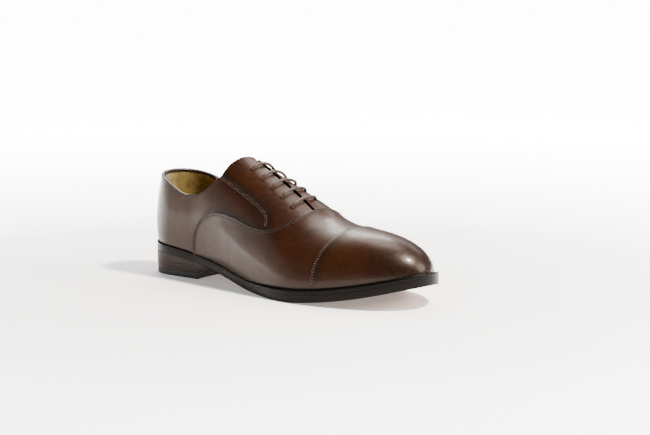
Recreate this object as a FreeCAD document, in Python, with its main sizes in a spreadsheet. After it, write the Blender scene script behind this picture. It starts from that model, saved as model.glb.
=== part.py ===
"""Right leather cap-toe oxford shoe, full size, built as separate pieces.

Millimetres. +X points to the toe, +Y to the inner (medial) side, +Z up, and the ground is Z = 0.
Pieces are drawn in design coordinates, where X starts at the back of the heel seat and the ridge of
the instep lies in the plane Y = 0. One shift then puts the origin under the middle of the shoe.

The upper is made of layers. section() gives the outside of the upper, the layers are offsets of it,
and each leather panel is its layer cut by the outline that the pattern gives it in side view.
"""

import FreeCAD, Part
import math
import os
import Sketcher
from FreeCAD import Placement, Rotation, Vector

doc = FreeCAD.newDocument("oxford_shoe")

# ---------------------------------------------------------------- driving dimensions

SIZES = [
    ("origin_x", 148.55),
    ("origin_y", -1.15),
    ("last_length", 296.0),
    ("base_depth", 4.0),
    ("upper_leather", 1.4),
    ("stiffener", 1.0),
    ("lining_leather", 0.9),
    ("layer_gap", 0.1),
    ("seam_gap", 0.12),
    ("tongue_drop", 6.9),
    ("tongue_leather", 1.2),
    ("welt_width", 9.0),
    ("insole_thick", 2.5),
    ("sock_thick", 1.0),
    ("insole_inset", 4.3),
    ("stack_gap", 0.05),
    ("shank_thick", 1.2),
    ("shank_width", 13.0),
    ("shank_start", 42.0),
    ("shank_end", 140.0),
    ("heel_radius", 33.2),
    ("heel_centre", 31.6),
    ("heel_breast", 68.0),
    ("breast_width", 63.0),
    ("breast_radius", 85.0),
    ("heel_taper", 3.0),
    ("heel_height", 19.6),
    ("top_piece_thick", 5.2),
    ("lift_thick", 3.2),
    ("nail_radius", 1.0),
    ("nail_length", 8.0),
    ("nail_circle", 20.0),
    ("eyelet_hole", 1.9),
    ("eyelet_rim", 3.3),
    ("eyelet_thick", 0.5),
    ("eyelet_depth", 1.85),
    ("eyelet_offset", 14.5),
    ("eyelet_first", 168.0),
    ("eyelet_pitch", 13.6),
    ("lace_radius", 1.25),
    ("aglet_radius", 1.4),
    ("aglet_length", 18.0),
    ("hinge_x", 176.0),
    ("tongue_top", 106.0),
]

sheet = doc.addObject("Spreadsheet::Sheet", "Sizes")
for row, (alias, value) in enumerate(SIZES, start=1):
    sheet.set("A%d" % row, alias)
    sheet.set("B%d" % row, str(value))
    sheet.setAlias("B%d" % row, alias)
doc.recompute()


def size(alias):
    return float(getattr(sheet, alias))


LENGTH = size("last_length")
BASE = size("base_depth")
GAP = size("seam_gap")
STACK_GAP = size("stack_gap")
SHIFT = Vector(-size("origin_x"), -size("origin_y"), 0)
EYELETS = 5
LIFTS = 3
LATERAL, MEDIAL = -1, 1
SIDES = (("lateral", LATERAL), ("medial", MEDIAL))

# Depths of the layers below the upper's outside.
UPPER = size("upper_leather")
STIFF_OUT = UPPER + size("layer_gap")
STIFF_IN = STIFF_OUT + size("stiffener")
LINING_OUT = STIFF_IN + size("layer_gap")
LINING_IN = LINING_OUT + size("lining_leather")
TONGUE_OUT = size("tongue_drop")
TONGUE_IN = TONGUE_OUT + size("tongue_leather")
TONGUE_LINING_OUT = TONGUE_IN + size("layer_gap")
TONGUE_LINING_IN = TONGUE_LINING_OUT + size("lining_leather")

# ---------------------------------------------------------------- the last


def spline(stations):
    """Natural cubic spline through (position, value) stations, as a function of position."""
    xs = [float(x) for x, value in stations]
    ys = [float(value) for x, value in stations]
    n = len(xs)
    gap = [xs[i + 1] - xs[i] for i in range(n - 1)]
    ratio, right = [0.0] * n, [0.0] * n
    for i in range(1, n - 1):
        bend = 6 * ((ys[i + 1] - ys[i]) / gap[i] - (ys[i] - ys[i - 1]) / gap[i - 1])
        pivot = 2 * (gap[i - 1] + gap[i]) - gap[i - 1] * ratio[i - 1]
        ratio[i] = gap[i] / pivot
        right[i] = (bend - gap[i - 1] * right[i - 1]) / pivot
    curve = [0.0] * n
    for i in range(n - 2, 0, -1):
        curve[i] = right[i] - ratio[i] * curve[i + 1]

    def value_at(x):
        i = 0
        while i < n - 2 and x > xs[i + 1]:
            i += 1
        after, before, span = xs[i + 1] - x, x - xs[i], gap[i]
        cubic = (curve[i] * after**3 + curve[i + 1] * before**3) / (6 * span)
        left_part = (ys[i] / span - curve[i] * span / 6) * after
        right_part = (ys[i + 1] / span - curve[i + 1] * span / 6) * before
        return cubic + left_part + right_part

    return value_at


def smooth_step(x, start, end):
    """0 before start, 1 after end, and smooth between."""
    t = min(1.0, max(0.0, (x - start) / (end - start)))
    return t**3 * (t * (6 * t - 15) + 10)


# Height above ground of the feather line, where the upper meets the welt.
feather_height = spline(
    [(0, 27.6), (40, 25.4), (70, 21.2), (100, 15.6), (135, 9.8), (165, 9.6), (195, 10.4), (225, 13.4),
     (260, 19.4), (296, 28.2)]
)
# Height above ground of the ridge. Behind the facings this is the line of the leg, above the topline.
ridge_height = spline(
    [(0, 142), (30, 140), (60, 131), (80, 119), (100, 106), (130, 92), (150, 83.4), (172, 73.4),
     (190, 64.5), (210, 59), (232, 57.2), (260, 57), (296, 58.5)]
)
half_width = spline(
    [(0, 33.6), (35, 34.6), (70, 33.2), (100, 33), (130, 38), (160, 45.6), (190, 50.8), (215, 51),
     (240, 49.3), (296, 45)]
)
# Half of what the lateral side is wider than the medial side.
lateral_swing = spline(
    [(0, 0), (60, 0), (100, 4.5), (130, 5.5), (160, 4), (190, 2.5), (215, 0), (240, -1.5), (296, -1)]
)
# How far forward the back of the heel curves, by height above the feather line.
back_curve = spline([(-8, 1.5), (0, 0), (20, -2.3), (40, -0.5), (57, 4), (75, 9)])
tuck_in = spline([(0, 0.07), (60, 0.07), (110, 0.09), (150, 0.04), (190, 0.02), (240, 0.02), (296, 0.03)])
fullness = spline(
    [(0, 2), (50, 2), (80, 2.5), (100, 2.7), (130, 2.6), (160, 2.4), (190, 2.25), (240, 2.3), (296, 2.3)]
)
# Height above ground of the sole's underside, which is cut off flat where it would go below the ground, and the thickness of the welt that lies on it.
ground_height = spline(
    [(0, 19.6), (40, 17.8), (70, 13.7), (100, 7.8), (135, 1.9), (165, 0.25), (190, -0.2), (225, 2.8),
     (260, 8.8), (296, 18)]
)
welt_height = spline([(0, 2.4), (70, 2.2), (120, 2.2), (180, 3.2), (300, 3.2)])
# How far the edge of the welt stands out past the feather line.
edge_margin = spline([(-5, 1.6), (60, 1.0), (90, 0.4), (140, 1.2), (180, 3.5), (225, 3.8), (300, 3.8)])

HEEL_ROUND = 34.0
TOE_WIDTH_ROUND, TOE_WIDTH_POWER = 88.0, 2.2
TOE_HEIGHT_ROUND, TOE_HEIGHT_POWER = 70.0, 2.6
BACK_FADE = 58.0
BACK_LOW, BACK_HIGH = -8.0, 75.0
TUCK_HEIGHT = 7.0
SLIT_LEAN, SLIT_CROSSES_RIDGE = 0.16, 137.5


def toe_round(x, reach, power):
    t = min(1.0, max(0.0, (x - (LENGTH - reach)) / reach))
    return math.sqrt(max(0.0, 1 - t**power))


def section_height(x):
    rise = ridge_height(x) - feather_height(x) + BASE
    return rise * toe_round(x, TOE_HEIGHT_ROUND, TOE_HEIGHT_POWER)


def section(x, angle):
    """Point of the upper's outside at station x. The angle runs from 0, lateral base, to pi, medial base."""
    heel = math.sqrt(max(0.0, 1 - max(0.0, 1 - x / HEEL_ROUND) ** 2))
    toe = toe_round(x, TOE_WIDTH_ROUND, TOE_WIDTH_POWER)
    mean = half_width(x) * heel * toe
    swing = lateral_swing(x) * smooth_step(x, 50, 80) * toe
    s, c = math.sin(angle), math.cos(angle)
    power = fullness(x)
    if c * c > 1e-7:
        full = math.sqrt(max(0.0, 1 - max(s, 0.0) ** power) / (c * c))
    else:
        full = math.sqrt(power / 2)
    rise = section_height(x) * s - BASE
    across = (mean * c + swing * c * c) * full * (1 - tuck_in(x) * math.exp(-rise / TUCK_HEIGHT))
    back = back_curve(min(BACK_HIGH, max(BACK_LOW, rise))) * max(0.0, 1 - x / BACK_FADE) ** 3
    return Vector(x + back, -across, rise + feather_height(x))


def feather_angle(x):
    """Section angle of the lateral feather line at station x."""
    return math.asin(min(1.0, BASE / max(BASE, section_height(x))))


def outward_normal(x, angle):
    """Unit normal of the upper's outside, pointing out of the shoe."""
    along = section(x + 0.01, angle) - section(x - 0.01, angle)
    round_it = section(x, angle - 0.001) - section(x, angle + 0.001)
    return round_it.cross(along).normalize()


def under_surface(x, angle, depth):
    """Point at a depth below the upper's outside."""
    return section(x, angle) - outward_normal(x, angle) * depth


def slit_line(x):
    """Plan line of the slit between the facings, as y. It leans to the lateral side towards the toe."""
    return SLIT_LEAN * (SLIT_CROSSES_RIDGE - x)


def angle_at(x, y):
    """Section angle, on the instep, at which the upper's outside has this y."""
    low, high = math.radians(15), math.radians(165)
    for _ in range(40):
        middle = (low + high) / 2
        if section(x, middle).y < y:
            low = middle
        else:
            high = middle
    return low


# ---------------------------------------------------------------- layer solids

FRONT_START, TOE_ZONE, TOE_STOP = 52.0, 60.0, 0.985
HEEL_SHEET_END = 190.0
HEEL_SHEET_TOP = math.radians(47)
FRONT_GRID, HEEL_GRID = (54, 28), (76, 18)


def split_share(run, curved):
    """Share of a grid that goes to the straight run, so that its spacing meets the curved run's."""
    return run / (run + curved)


def front_point(u, v):
    """Front sheet, from the waist, u = 0, to the toe, and over the ridge from v = 0 to 1."""
    run = LENGTH - TOE_ZONE - FRONT_START
    share = split_share(run, TOE_ZONE * math.pi / 2 * TOE_STOP)
    if u < share:
        x = FRONT_START + run * u / share
    else:
        turn = (u - share) / (1 - share) * math.pi / 2 * TOE_STOP
        x = LENGTH - TOE_ZONE + TOE_ZONE * math.sin(turn)
    return x, v * math.pi


def heel_point(u, v):
    """Heel sheet, from the lateral instep round the back of the heel, u = 0.5, to the medial instep.

    Its upper edge, v = 1, is above the topline at the heel and follows the slit over the instep.
    """
    t = abs(u - 0.5) * 2
    run = HEEL_SHEET_END - HEEL_ROUND
    share = 1 - split_share(run, HEEL_ROUND * math.pi / 2)
    if t < share:
        x = HEEL_ROUND * (1 - math.cos(math.pi / 2 * t / share))
    else:
        x = HEEL_ROUND + run * (t - share) / (1 - share)
    at_slit = angle_at(x, slit_line(x))
    if u > 0.5:
        at_slit = math.pi - at_slit
    top = HEEL_SHEET_TOP + (at_slit - HEEL_SHEET_TOP) * smooth_step(x, 30, 105)
    return x, (v * top if u < 0.5 else math.pi - v * top)


def sheet_surface(chart, depth, rows, columns):
    """B-spline surface at a depth below the upper's outside, over the grid that chart(u, v) gives."""
    step = 1e-4

    def at(u, v):
        x, angle = chart(u, v)
        return section(x, angle)

    grid = []
    for i in range(rows + 1):
        u = min(1 - 2 * step, max(2 * step, i / rows))
        line = []
        for j in range(columns + 1):
            v = min(1 - 2 * step, max(2 * step, j / columns))
            here = at(u, v)
            across = at(u + step, v) - at(u - step, v)
            up = at(u, v + step) - at(u, v - step)
            line.append(here - across.cross(up).normalize() * depth)
        grid.append(line)
    surface = Part.BSplineSurface()
    surface.interpolate(grid)
    return surface


def layer_solid(chart, outer_depth, inner_depth, grid, inward):
    """Solid between two depths of a sheet. inward is the sense of the grid's own normal."""
    surfaces = [sheet_surface(chart, inward * depth, *grid) for depth in (outer_depth, inner_depth)]
    borders = []
    for surface in surfaces:
        u0, u1, v0, v1 = surface.bounds()
        border = [surface.uIso(u0), surface.uIso(u1), surface.vIso(v0), surface.vIso(v1)]
        borders.append([curve.toShape() for curve in border])
    faces = [surface.toShape() for surface in surfaces]
    faces += [Part.makeRuledSurface(a, b) for a, b in zip(*borders)]
    shell = Part.makeShell(faces)
    shell.sewShape()
    solid = Part.makeSolid(shell)
    solid.fix(1e-4, 1e-4, 1e-4)
    return solid


def front_layer(outer_depth, inner_depth):
    return layer_solid(front_point, outer_depth, inner_depth, FRONT_GRID, 1)


def heel_layer(outer_depth, inner_depth):
    return layer_solid(heel_point, outer_depth, inner_depth, HEEL_GRID, -1)


# ---------------------------------------------------------------- outlines in side view and in plan

FAR, DEEP, HIGH = 130.0, -20.0, 160.0
BEHIND, AHEAD = -40.0, 330.0

# Pattern lines in side view, as (x, z).
TOPLINE = [(-14, 88), (2, 86.7), (15, 84), (30, 79.5), (44, 73.5), (57, 71.2), (70, 74), (81, 81.5),
           (92, 92), (101, 103), (108, 114)]
VAMP_TOP = [(180, 85), (181.3, 72), (181, 66), (178, 61.5), (171, 56.5), (157, 53), (141, 53.7), (124, 56.8),
            (106, 60.2), (90, 60.3), (77.5, 56), (69, 47.5), (64, 35), (63, 24), (63, 10)]
FACING_SEAM = [(80, 97), (91, 91), (107.5, 84.2), (121, 79), (135, 73.3), (147.5, 68), (155, 62.3),
               (158.3, 54.5), (158, 44)]
CAP_SEAM = [(226, 90), (225, 56), (221.8, 38), (220.8, 25), (222, -10)]
COUNTER_TOP = [(-20, 70), (20, 66), (45, 55), (66, 38), (76, 5)]
GRIP_SEAM = [(27, 100), (28, 80), (30, 50), (33, 10)]
LINING_SEAM_X = 148.0
LINING_LIFT = 0.6
SLIT_HALF_AT_VAMP, SLIT_OPENS = 1.2, 0.018
RAND_END_X = 60.0
BINDING_END_X = 98.0
# The tongue's layers are cut from their sheets above this height.
TONGUE_FLOOR = 55.0
# Room in front of the hinge for the tongue's front edge, which turns with it.
TAB_GAP = 2.4


def shifted(run, dx, dz):
    return [(x + dx, z + dz) for x, z in run]


def side_prism(runs, low_y=-FAR, high_y=FAR):
    """Solid of a closed side-view outline. Each run of (x, z) points starts where the last one ends."""
    edges = []
    for run in runs:
        at = [Vector(x, low_y, z) for x, z in run]
        if len(at) == 2:
            edges.append(Part.LineSegment(*at).toShape())
        else:
            curve = Part.BSplineCurve()
            curve.interpolate(at)
            edges.append(curve.toShape())
    return Part.Face(Part.Wire(edges)).extrude(Vector(0, high_y - low_y, 0))


def closed_by(run, *corners):
    """The run, then straight edges through the corners and back to its start."""
    path = [run[-1]] + list(corners) + [run[0]]
    return [run] + [[a, b] for a, b in zip(path, path[1:])]


def behind_of(run, low_y=-FAR, high_y=FAR):
    """Everything behind a line that runs from top to bottom."""
    return side_prism(closed_by(run, (run[-1][0], DEEP), (BEHIND, DEEP), (BEHIND, run[0][1])), low_y, high_y)


def ahead_of(run, low_y=-FAR, high_y=FAR):
    """Everything in front of a line that runs from top to bottom."""
    corners = [(run[-1][0], DEEP), (AHEAD, DEEP), (AHEAD, HIGH), (run[0][0], HIGH)]
    return side_prism(closed_by(run, *corners), low_y, high_y)


def height_run(height, start=-20.0, end=316.0, count=25):
    """Side-view points of a height that is a function of x."""
    step = (end - start) / (count - 1)
    return [(start + i * step, height(start + i * step)) for i in range(count)]


def over_feather(lift):
    """Height function that follows the feather line, raised by lift."""
    return lambda x: feather_height(x) + lift


def band(low_height, high_height):
    """Full-width slab between two heights that are functions of x."""
    low, high = height_run(low_height), height_run(high_height)[::-1]
    return side_prism([low, [low[-1], high[0]], high, [high[-1], low[0]]])


def above_feather(lift=GAP):
    run = height_run(over_feather(lift))
    return side_prism(closed_by(run, (run[-1][0], HIGH), (run[0][0], HIGH)))


def below_topline(lift=0.0):
    run = shifted(TOPLINE, 0, lift)
    return side_prism(closed_by(run, (run[-1][0], HIGH), (AHEAD, HIGH), (AHEAD, DEEP), (run[0][0], DEEP)))


def box(x0, x1, y0=-FAR, y1=FAR, z0=DEEP, z1=HIGH):
    return Part.makeBox(x1 - x0, y1 - y0, z1 - z0, Vector(x0, y0, z0))


def one_side(side):
    """Y range of one side of the shoe, a hair short of the middle plane."""
    return (-FAR, -GAP) if side == LATERAL else (GAP, FAR)


def tip_station():
    """Station at which the feather line reaches the toe."""
    low, high = LENGTH - 10, LENGTH
    for _ in range(40):
        middle = (low + high) / 2
        if section_height(middle) > BASE:
            low = middle
        else:
            high = middle
    return low


def feather_plan(steps=26):
    """Plan points of the feather line, from the heel along the lateral side, round the toe and back."""
    tip = tip_station()
    run = tip - TOE_ZONE - HEEL_ROUND
    stations = []
    for i in range(steps + 1):
        t = i / steps * (HEEL_ROUND * math.pi / 2 + run + TOE_ZONE * math.pi / 2)
        if t < HEEL_ROUND * math.pi / 2:
            stations.append(HEEL_ROUND * (1 - math.cos(t / HEEL_ROUND)))
        elif t < HEEL_ROUND * math.pi / 2 + run:
            stations.append(HEEL_ROUND + t - HEEL_ROUND * math.pi / 2)
        else:
            t -= HEEL_ROUND * math.pi / 2 + run
            stations.append(tip - TOE_ZONE + TOE_ZONE * math.sin(t / TOE_ZONE))
    lateral = [section(x, feather_angle(x)) for x in stations]
    medial = [section(x, math.pi - feather_angle(x)) for x in stations]
    return [(p.x, p.y) for p in lateral[:-1] + medial[:0:-1]]


def plan_prism(margin):
    """Tall solid of the feather outline, moved out by margin(x) all round."""
    points = feather_plan()
    moved = []
    for i, (x, y) in enumerate(points):
        x0, y0 = points[i - 1]
        x1, y1 = points[(i + 1) % len(points)]
        along = Vector(x1 - x0, y1 - y0, 0).normalize()
        out = margin(x)
        moved.append(Vector(x + along.y * out, y - along.x * out, DEEP))
    curve = Part.BSplineCurve()
    curve.interpolate(moved, PeriodicFlag=True)
    return Part.Face(Part.Wire(curve.toShape())).extrude(Vector(0, 0, HIGH - DEEP))


# ---------------------------------------------------------------- sub-parts of the document

SUB_PARTS = []


def place(thing):
    """Moves a finished sub-part from design coordinates to the shoe's frame."""
    thing.Placement = Placement(SHIFT, Rotation()) * thing.Placement
    SUB_PARTS.append(thing)
    return thing


def piece(name, shape):
    """Adds a solid made with Part's functions as the sub-part called name."""
    feature = doc.addObject("Part::Feature", name)
    feature.Shape = shape
    return place(feature)


def largest(shape):
    """The biggest solid of a boolean's result."""
    return max(shape.Solids, key=lambda solid: solid.Volume)


def meet(shape, *tools):
    for tool in tools:
        shape = shape.common(tool)
    return largest(shape)


def less(shape, *tools):
    return largest(shape.cut(list(tools)))


# ---------------------------------------------------------------- upper


def instep_frame(x, aside):
    """Point on the upper's outside and its normal, at a signed distance in plan from the slit."""
    angle = angle_at(x, slit_line(x) + aside)
    return section(x, angle), outward_normal(x, angle)


def eyelet_x(index):
    """Station of a pair of eyelets. The first pair is nearest the toe."""
    return size("eyelet_first") - index * size("eyelet_pitch")


def eyelet_frame(index, side, extra=0.0):
    return instep_frame(eyelet_x(index), side * (size("eyelet_offset") + extra))


def eyelet_holes(side):
    length = 4 * LINING_IN
    holes = []
    for index in range(EYELETS):
        centre, normal = eyelet_frame(index, side)
        holes.append(Part.makeCylinder(size("eyelet_hole"), length, centre - normal * length / 2, normal))
    return holes


def instep_prism(edge_y, start, end, steps=8):
    """Tall solid over the instep, between two plan lines that edge_y(x) gives as y on each side."""
    stations = [start + (end - start) * i / steps for i in range(steps + 1)]
    sides = []
    for pick in (0, 1):
        curve = Part.BSplineCurve()
        curve.interpolate([Vector(x, edge_y(x)[pick], 0) for x in stations])
        sides.append(curve.toShape())
    ends = []
    for x in (start, end):
        low_y, high_y = edge_y(x)
        ends.append(Part.LineSegment(Vector(x, low_y, 0), Vector(x, high_y, 0)).toShape())
    outline = Part.Wire([sides[0], ends[1], sides[1], ends[0]])
    return Part.Face(outline).extrude(Vector(0, 0, HIGH))


def beside_slit(side):
    """Everything on one side of the slit, which is narrow at the vamp and wider at the top."""
    end = 195.0

    def edges(x):
        half = SLIT_HALF_AT_VAMP + SLIT_OPENS * (end - x)
        return slit_line(x) + side * half, side * FAR

    return instep_prism(edges, 20, end)


def vamp_area(lift):
    """Everything below the vamp's top line, grown by lift."""
    run = shifted(VAMP_TOP, -lift, lift)
    return side_prism(closed_by(run, (run[-1][0], DEEP), (AHEAD, DEEP), (AHEAD, run[0][1])))


def make_outer_panels():
    front = meet(front_layer(0, UPPER), above_feather())
    piece("toe_cap", meet(front, ahead_of(shifted(CAP_SEAM, GAP, 0))))
    piece("vamp", meet(front, vamp_area(0), behind_of(CAP_SEAM)))
    heel = meet(heel_layer(0, UPPER), above_feather(), below_topline())
    vamp_side = vamp_area(GAP)
    for name, side in SIDES:
        quarter = meet(heel, behind_of(FACING_SEAM, *one_side(side)))
        piece("quarter_" + name, less(quarter, vamp_side))
        facing = meet(heel, ahead_of(shifted(FACING_SEAM, GAP, 0)), beside_slit(side))
        piece("facing_" + name, less(facing, vamp_side, *eyelet_holes(side)))


def lining_line(lift):
    """Rear and top edge of the vamp lining: the throat, then straight down."""
    throat = [p for p in shifted(VAMP_TOP, -lift, lift) if p[0] >= LINING_SEAM_X - lift]
    return closed_by(throat, (throat[-1][0], DEEP), (AHEAD, DEEP), (AHEAD, throat[0][1]))


def make_linings():
    front = meet(front_layer(LINING_OUT, LINING_IN), side_prism(lining_line(0)))
    piece("vamp_lining", meet(front, above_feather(LINING_LIFT)))
    heel = meet(heel_layer(LINING_OUT, LINING_IN), above_feather(), below_topline())
    piece("heel_grip", meet(heel, behind_of(GRIP_SEAM)))
    vamp_side = side_prism(lining_line(GAP))
    for name, side in SIDES:
        lining = meet(heel, ahead_of(shifted(GRIP_SEAM, GAP, 0)), beside_slit(side))
        lining = less(lining, vamp_side, *eyelet_holes(side))
        piece("quarter_lining_" + name, lining)


def make_stiffeners():
    front = meet(front_layer(STIFF_OUT, STIFF_IN), above_feather())
    piece("toe_puff", meet(front, ahead_of(shifted(CAP_SEAM, 2, 0))))
    heel = meet(heel_layer(STIFF_OUT, STIFF_IN), above_feather())
    piece("heel_counter", meet(heel, behind_of(COUNTER_TOP)))


def make_topline_binding():
    """Strip of thin leather folded over the edge of the topline, shown as the cap of the fold."""
    proud, height = 0.3, 1.3
    strip = meet(heel_layer(-proud, LINING_IN + proud), below_topline(height))
    strip = less(strip, below_topline(STACK_GAP))
    piece("topline_binding", meet(strip, box(BEHIND, BINDING_END_X)))


def tongue_strip(start, end, start_width, end_width):
    """Tall solid over a stretch of the tongue, which follows the slit."""
    def edges(x):
        half = (start_width + (end_width - start_width) * (x - start) / (end - start)) / 2
        return slit_line(x) - half, slit_line(x) + half

    return instep_prism(edges, start, end)


def make_tongue():
    top, hinge = size("tongue_top"), size("hinge_x")
    instep = box(FRONT_START, AHEAD, z0=TONGUE_FLOOR)
    outside = meet(front_layer(TONGUE_OUT, TONGUE_IN), instep)
    piece("tongue", meet(outside, tongue_strip(top, hinge, 25, 28)))
    inside = meet(front_layer(TONGUE_LINING_OUT, TONGUE_LINING_IN), instep)
    piece("tongue_lining", meet(inside, tongue_strip(top + 1, hinge, 23, 26)))
    tab = meet(front_layer(LINING_IN + STACK_GAP, TONGUE_IN), instep)
    piece("tongue_tab", meet(tab, tongue_strip(hinge + TAB_GAP, hinge + 12, 27, 25)))


# ---------------------------------------------------------------- sole


def welt_under(x):
    return feather_height(x) - welt_height(x)


def make_sole():
    welt_layer = band(lambda x: welt_under(x) + STACK_GAP, over_feather(-STACK_GAP))
    rim = plan_prism(edge_margin)
    ring_inside = plan_prism(lambda x: edge_margin(x) - size("welt_width"))
    above_ground = box(BEHIND, AHEAD, z0=0)
    piece("outsole", meet(rim, band(ground_height, welt_under), above_ground))
    ring = meet(rim, welt_layer).cut(ring_inside)
    piece("welt", meet(ring, box(RAND_END_X + GAP, AHEAD)))
    piece("heel_rand", meet(ring, box(BEHIND, RAND_END_X)))
    shank = make_shank()
    filling = plan_prism(lambda x: edge_margin(x) - size("welt_width") - GAP)
    piece("cork_filler", less(meet(filling, welt_layer), shank))
    inner = plan_prism(lambda x: -size("insole_inset"))
    top = size("insole_thick")
    piece("insole", meet(inner, band(feather_height, over_feather(top))))
    sock = band(over_feather(top + STACK_GAP), over_feather(top + size("sock_thick")))
    piece("sock_liner", meet(inner, sock))


def make_shank():
    """Spring-steel strip with round ends, let into the cork under the waist."""
    radius = size("shank_width") / 2
    start, end = size("shank_start") + radius, size("shank_end") - radius
    height = HIGH - DEEP
    plan = box(start, end, -radius, radius).fuse(
        [Part.makeCylinder(radius, height, Vector(x, 0, DEEP)) for x in (start, end)]
    )
    low, high = -size("shank_thick") - 3 * STACK_GAP, -3 * STACK_GAP
    strip = meet(plan.removeSplitter(), band(over_feather(low), over_feather(high)))
    piece("shank", strip)
    return strip


# ---------------------------------------------------------------- heel


def heel_sketch(body, low):
    """D-shaped outline of the heel at a height: round back, straight sides, hollow breast."""
    plane = next(f for f in body.Origin.OriginFeatures if f.Role == "XY_Plane")
    sketch = body.newObject("Sketcher::SketchObject", body.Name + "_outline")
    sketch.AttachmentSupport = [(plane, "")]
    sketch.MapMode = "FlatFace"
    centre, radius = size("heel_centre"), size("heel_radius")
    breast, half = size("heel_breast"), size("breast_width") / 2
    hollow = size("breast_radius")
    hollow_centre = breast + math.sqrt(hollow**2 - half**2)
    quarter, open_angle = math.pi / 2, math.asin(half / hollow)
    up = Vector(0, 0, 1)
    back = Part.ArcOfCircle(Part.Circle(Vector(centre, 0, 0), up, radius), quarter, 3 * quarter)
    front = Part.ArcOfCircle(
        Part.Circle(Vector(hollow_centre, 0, 0), up, hollow), math.pi - open_angle, math.pi + open_angle
    )
    top_side = Part.LineSegment(Vector(breast, half, 0), Vector(centre, radius, 0))
    low_side = Part.LineSegment(Vector(centre, -radius, 0), Vector(breast, -half, 0))
    sketch.addGeometry([back, low_side, front, top_side])
    start, end, middle, x_axis = 1, 2, 3, -1
    rules = [
        Sketcher.Constraint("Coincident", 0, end, 1, start),
        Sketcher.Constraint("Coincident", 1, end, 2, end),
        Sketcher.Constraint("Coincident", 2, start, 3, start),
        Sketcher.Constraint("Coincident", 3, end, 0, start),
        Sketcher.Constraint("PointOnObject", 0, middle, x_axis),
        Sketcher.Constraint("PointOnObject", 2, middle, x_axis),
        Sketcher.Constraint("Vertical", 0, start, 0, middle),
        Sketcher.Constraint("Vertical", 0, end, 0, middle),
        Sketcher.Constraint("Vertical", 2, start, 2, end),
    ]
    sketch.addConstraint(rules)
    shrink = "(Sizes.heel_height - %s) * tan(Sizes.heel_taper * 1 deg)" % low
    bound = [
        (Sketcher.Constraint("DistanceX", -1, start, 0, middle, centre), "Sizes.heel_centre * 1 mm"),
        (Sketcher.Constraint("Radius", 0, radius), "(Sizes.heel_radius - %s) * 1 mm" % shrink),
        (Sketcher.Constraint("DistanceX", -1, start, 2, start, breast),
         "(Sizes.heel_breast - %s) * 1 mm" % shrink),
        (Sketcher.Constraint("DistanceY", 2, end, 2, start, 2 * half),
         "(Sizes.breast_width - 2 * %s) * 1 mm" % shrink),
        (Sketcher.Constraint("Radius", 2, hollow), "Sizes.breast_radius * 1 mm"),
    ]
    for constraint, expression in bound:
        index = sketch.addConstraint(constraint)
        sketch.setExpression("Constraints[%d]" % index, expression)
    sketch.setExpression(".AttachmentOffset.Base.z", "%s * 1 mm" % low)
    return sketch


def heel_body(name, low, thickness):
    """One layer of the heel, padded up from its outline at height low and flared by the taper."""
    body = doc.addObject("PartDesign::Body", name)
    sketch = heel_sketch(body, low)
    doc.recompute()
    pad = body.newObject("PartDesign::Pad", name + "_pad")
    pad.Profile = sketch
    pad.setExpression("Length", "%s * 1 mm" % thickness)
    pad.setExpression("TaperAngle", "Sizes.heel_taper * 1 deg")
    doc.recompute()
    return body


def nail_places():
    """Plan places of the heel nails: a horseshoe that follows the back of the heel."""
    centre, radius = size("heel_centre"), size("nail_circle")
    turns = [math.radians(degrees) for degrees in range(90, 271, 45)]
    places = [(centre + radius * math.cos(a), radius * math.sin(a)) for a in turns]
    return places + [(centre + radius, side * radius) for side in (1, -1)]


def make_heel():
    piece_top = "Sizes.top_piece_thick"
    nails = []
    for index, (x, y) in enumerate(nail_places(), start=1):
        nail = doc.addObject("Part::Cylinder", "nail_%d" % index)
        nail.setExpression("Radius", "Sizes.nail_radius * 1 mm")
        nail.setExpression("Height", "Sizes.nail_length * 1 mm")
        nail.Placement = Placement(Vector(x, y, size("top_piece_thick") + 1), Rotation())
        nails.append(nail)
    driven = doc.addObject("Part::Compound", "heel_nails")
    driven.Links = nails
    doc.recompute()
    place(driven)

    cuts = doc.addObject("Part::Compound", "nail_holes")
    cuts.Links = nails
    top_piece = heel_body("heel_top_piece", "0", piece_top)
    place(top_piece)
    underside = piece_below_sole()
    for index in range(LIFTS):
        low = "(%s + %d * Sizes.lift_thick)" % (piece_top, index)
        uppermost = index == LIFTS - 1
        thickness = "Sizes.heel_height" if uppermost else "Sizes.lift_thick"
        body = heel_body("lift_block_%d" % (index + 1), low, thickness)
        lift = body
        if uppermost:
            lift = doc.addObject("Part::Common", "seat_lift_block")
            lift.Base, lift.Tool = body, underside
        drilled = doc.addObject("Part::Cut", "heel_lift_%d" % (index + 1))
        drilled.Base, drilled.Tool = lift, cuts
        doc.recompute()
        place(drilled)


def piece_below_sole():
    """Space below the outsole, which trims the uppermost lift to a wedge."""
    run = height_run(lambda x: ground_height(x) - STACK_GAP)
    space = doc.addObject("Part::Feature", "below_outsole")
    space.Shape = side_prism(closed_by(run, (run[-1][0], DEEP), (run[0][0], DEEP)))
    return space


# ---------------------------------------------------------------- eyelets and lace


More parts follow.
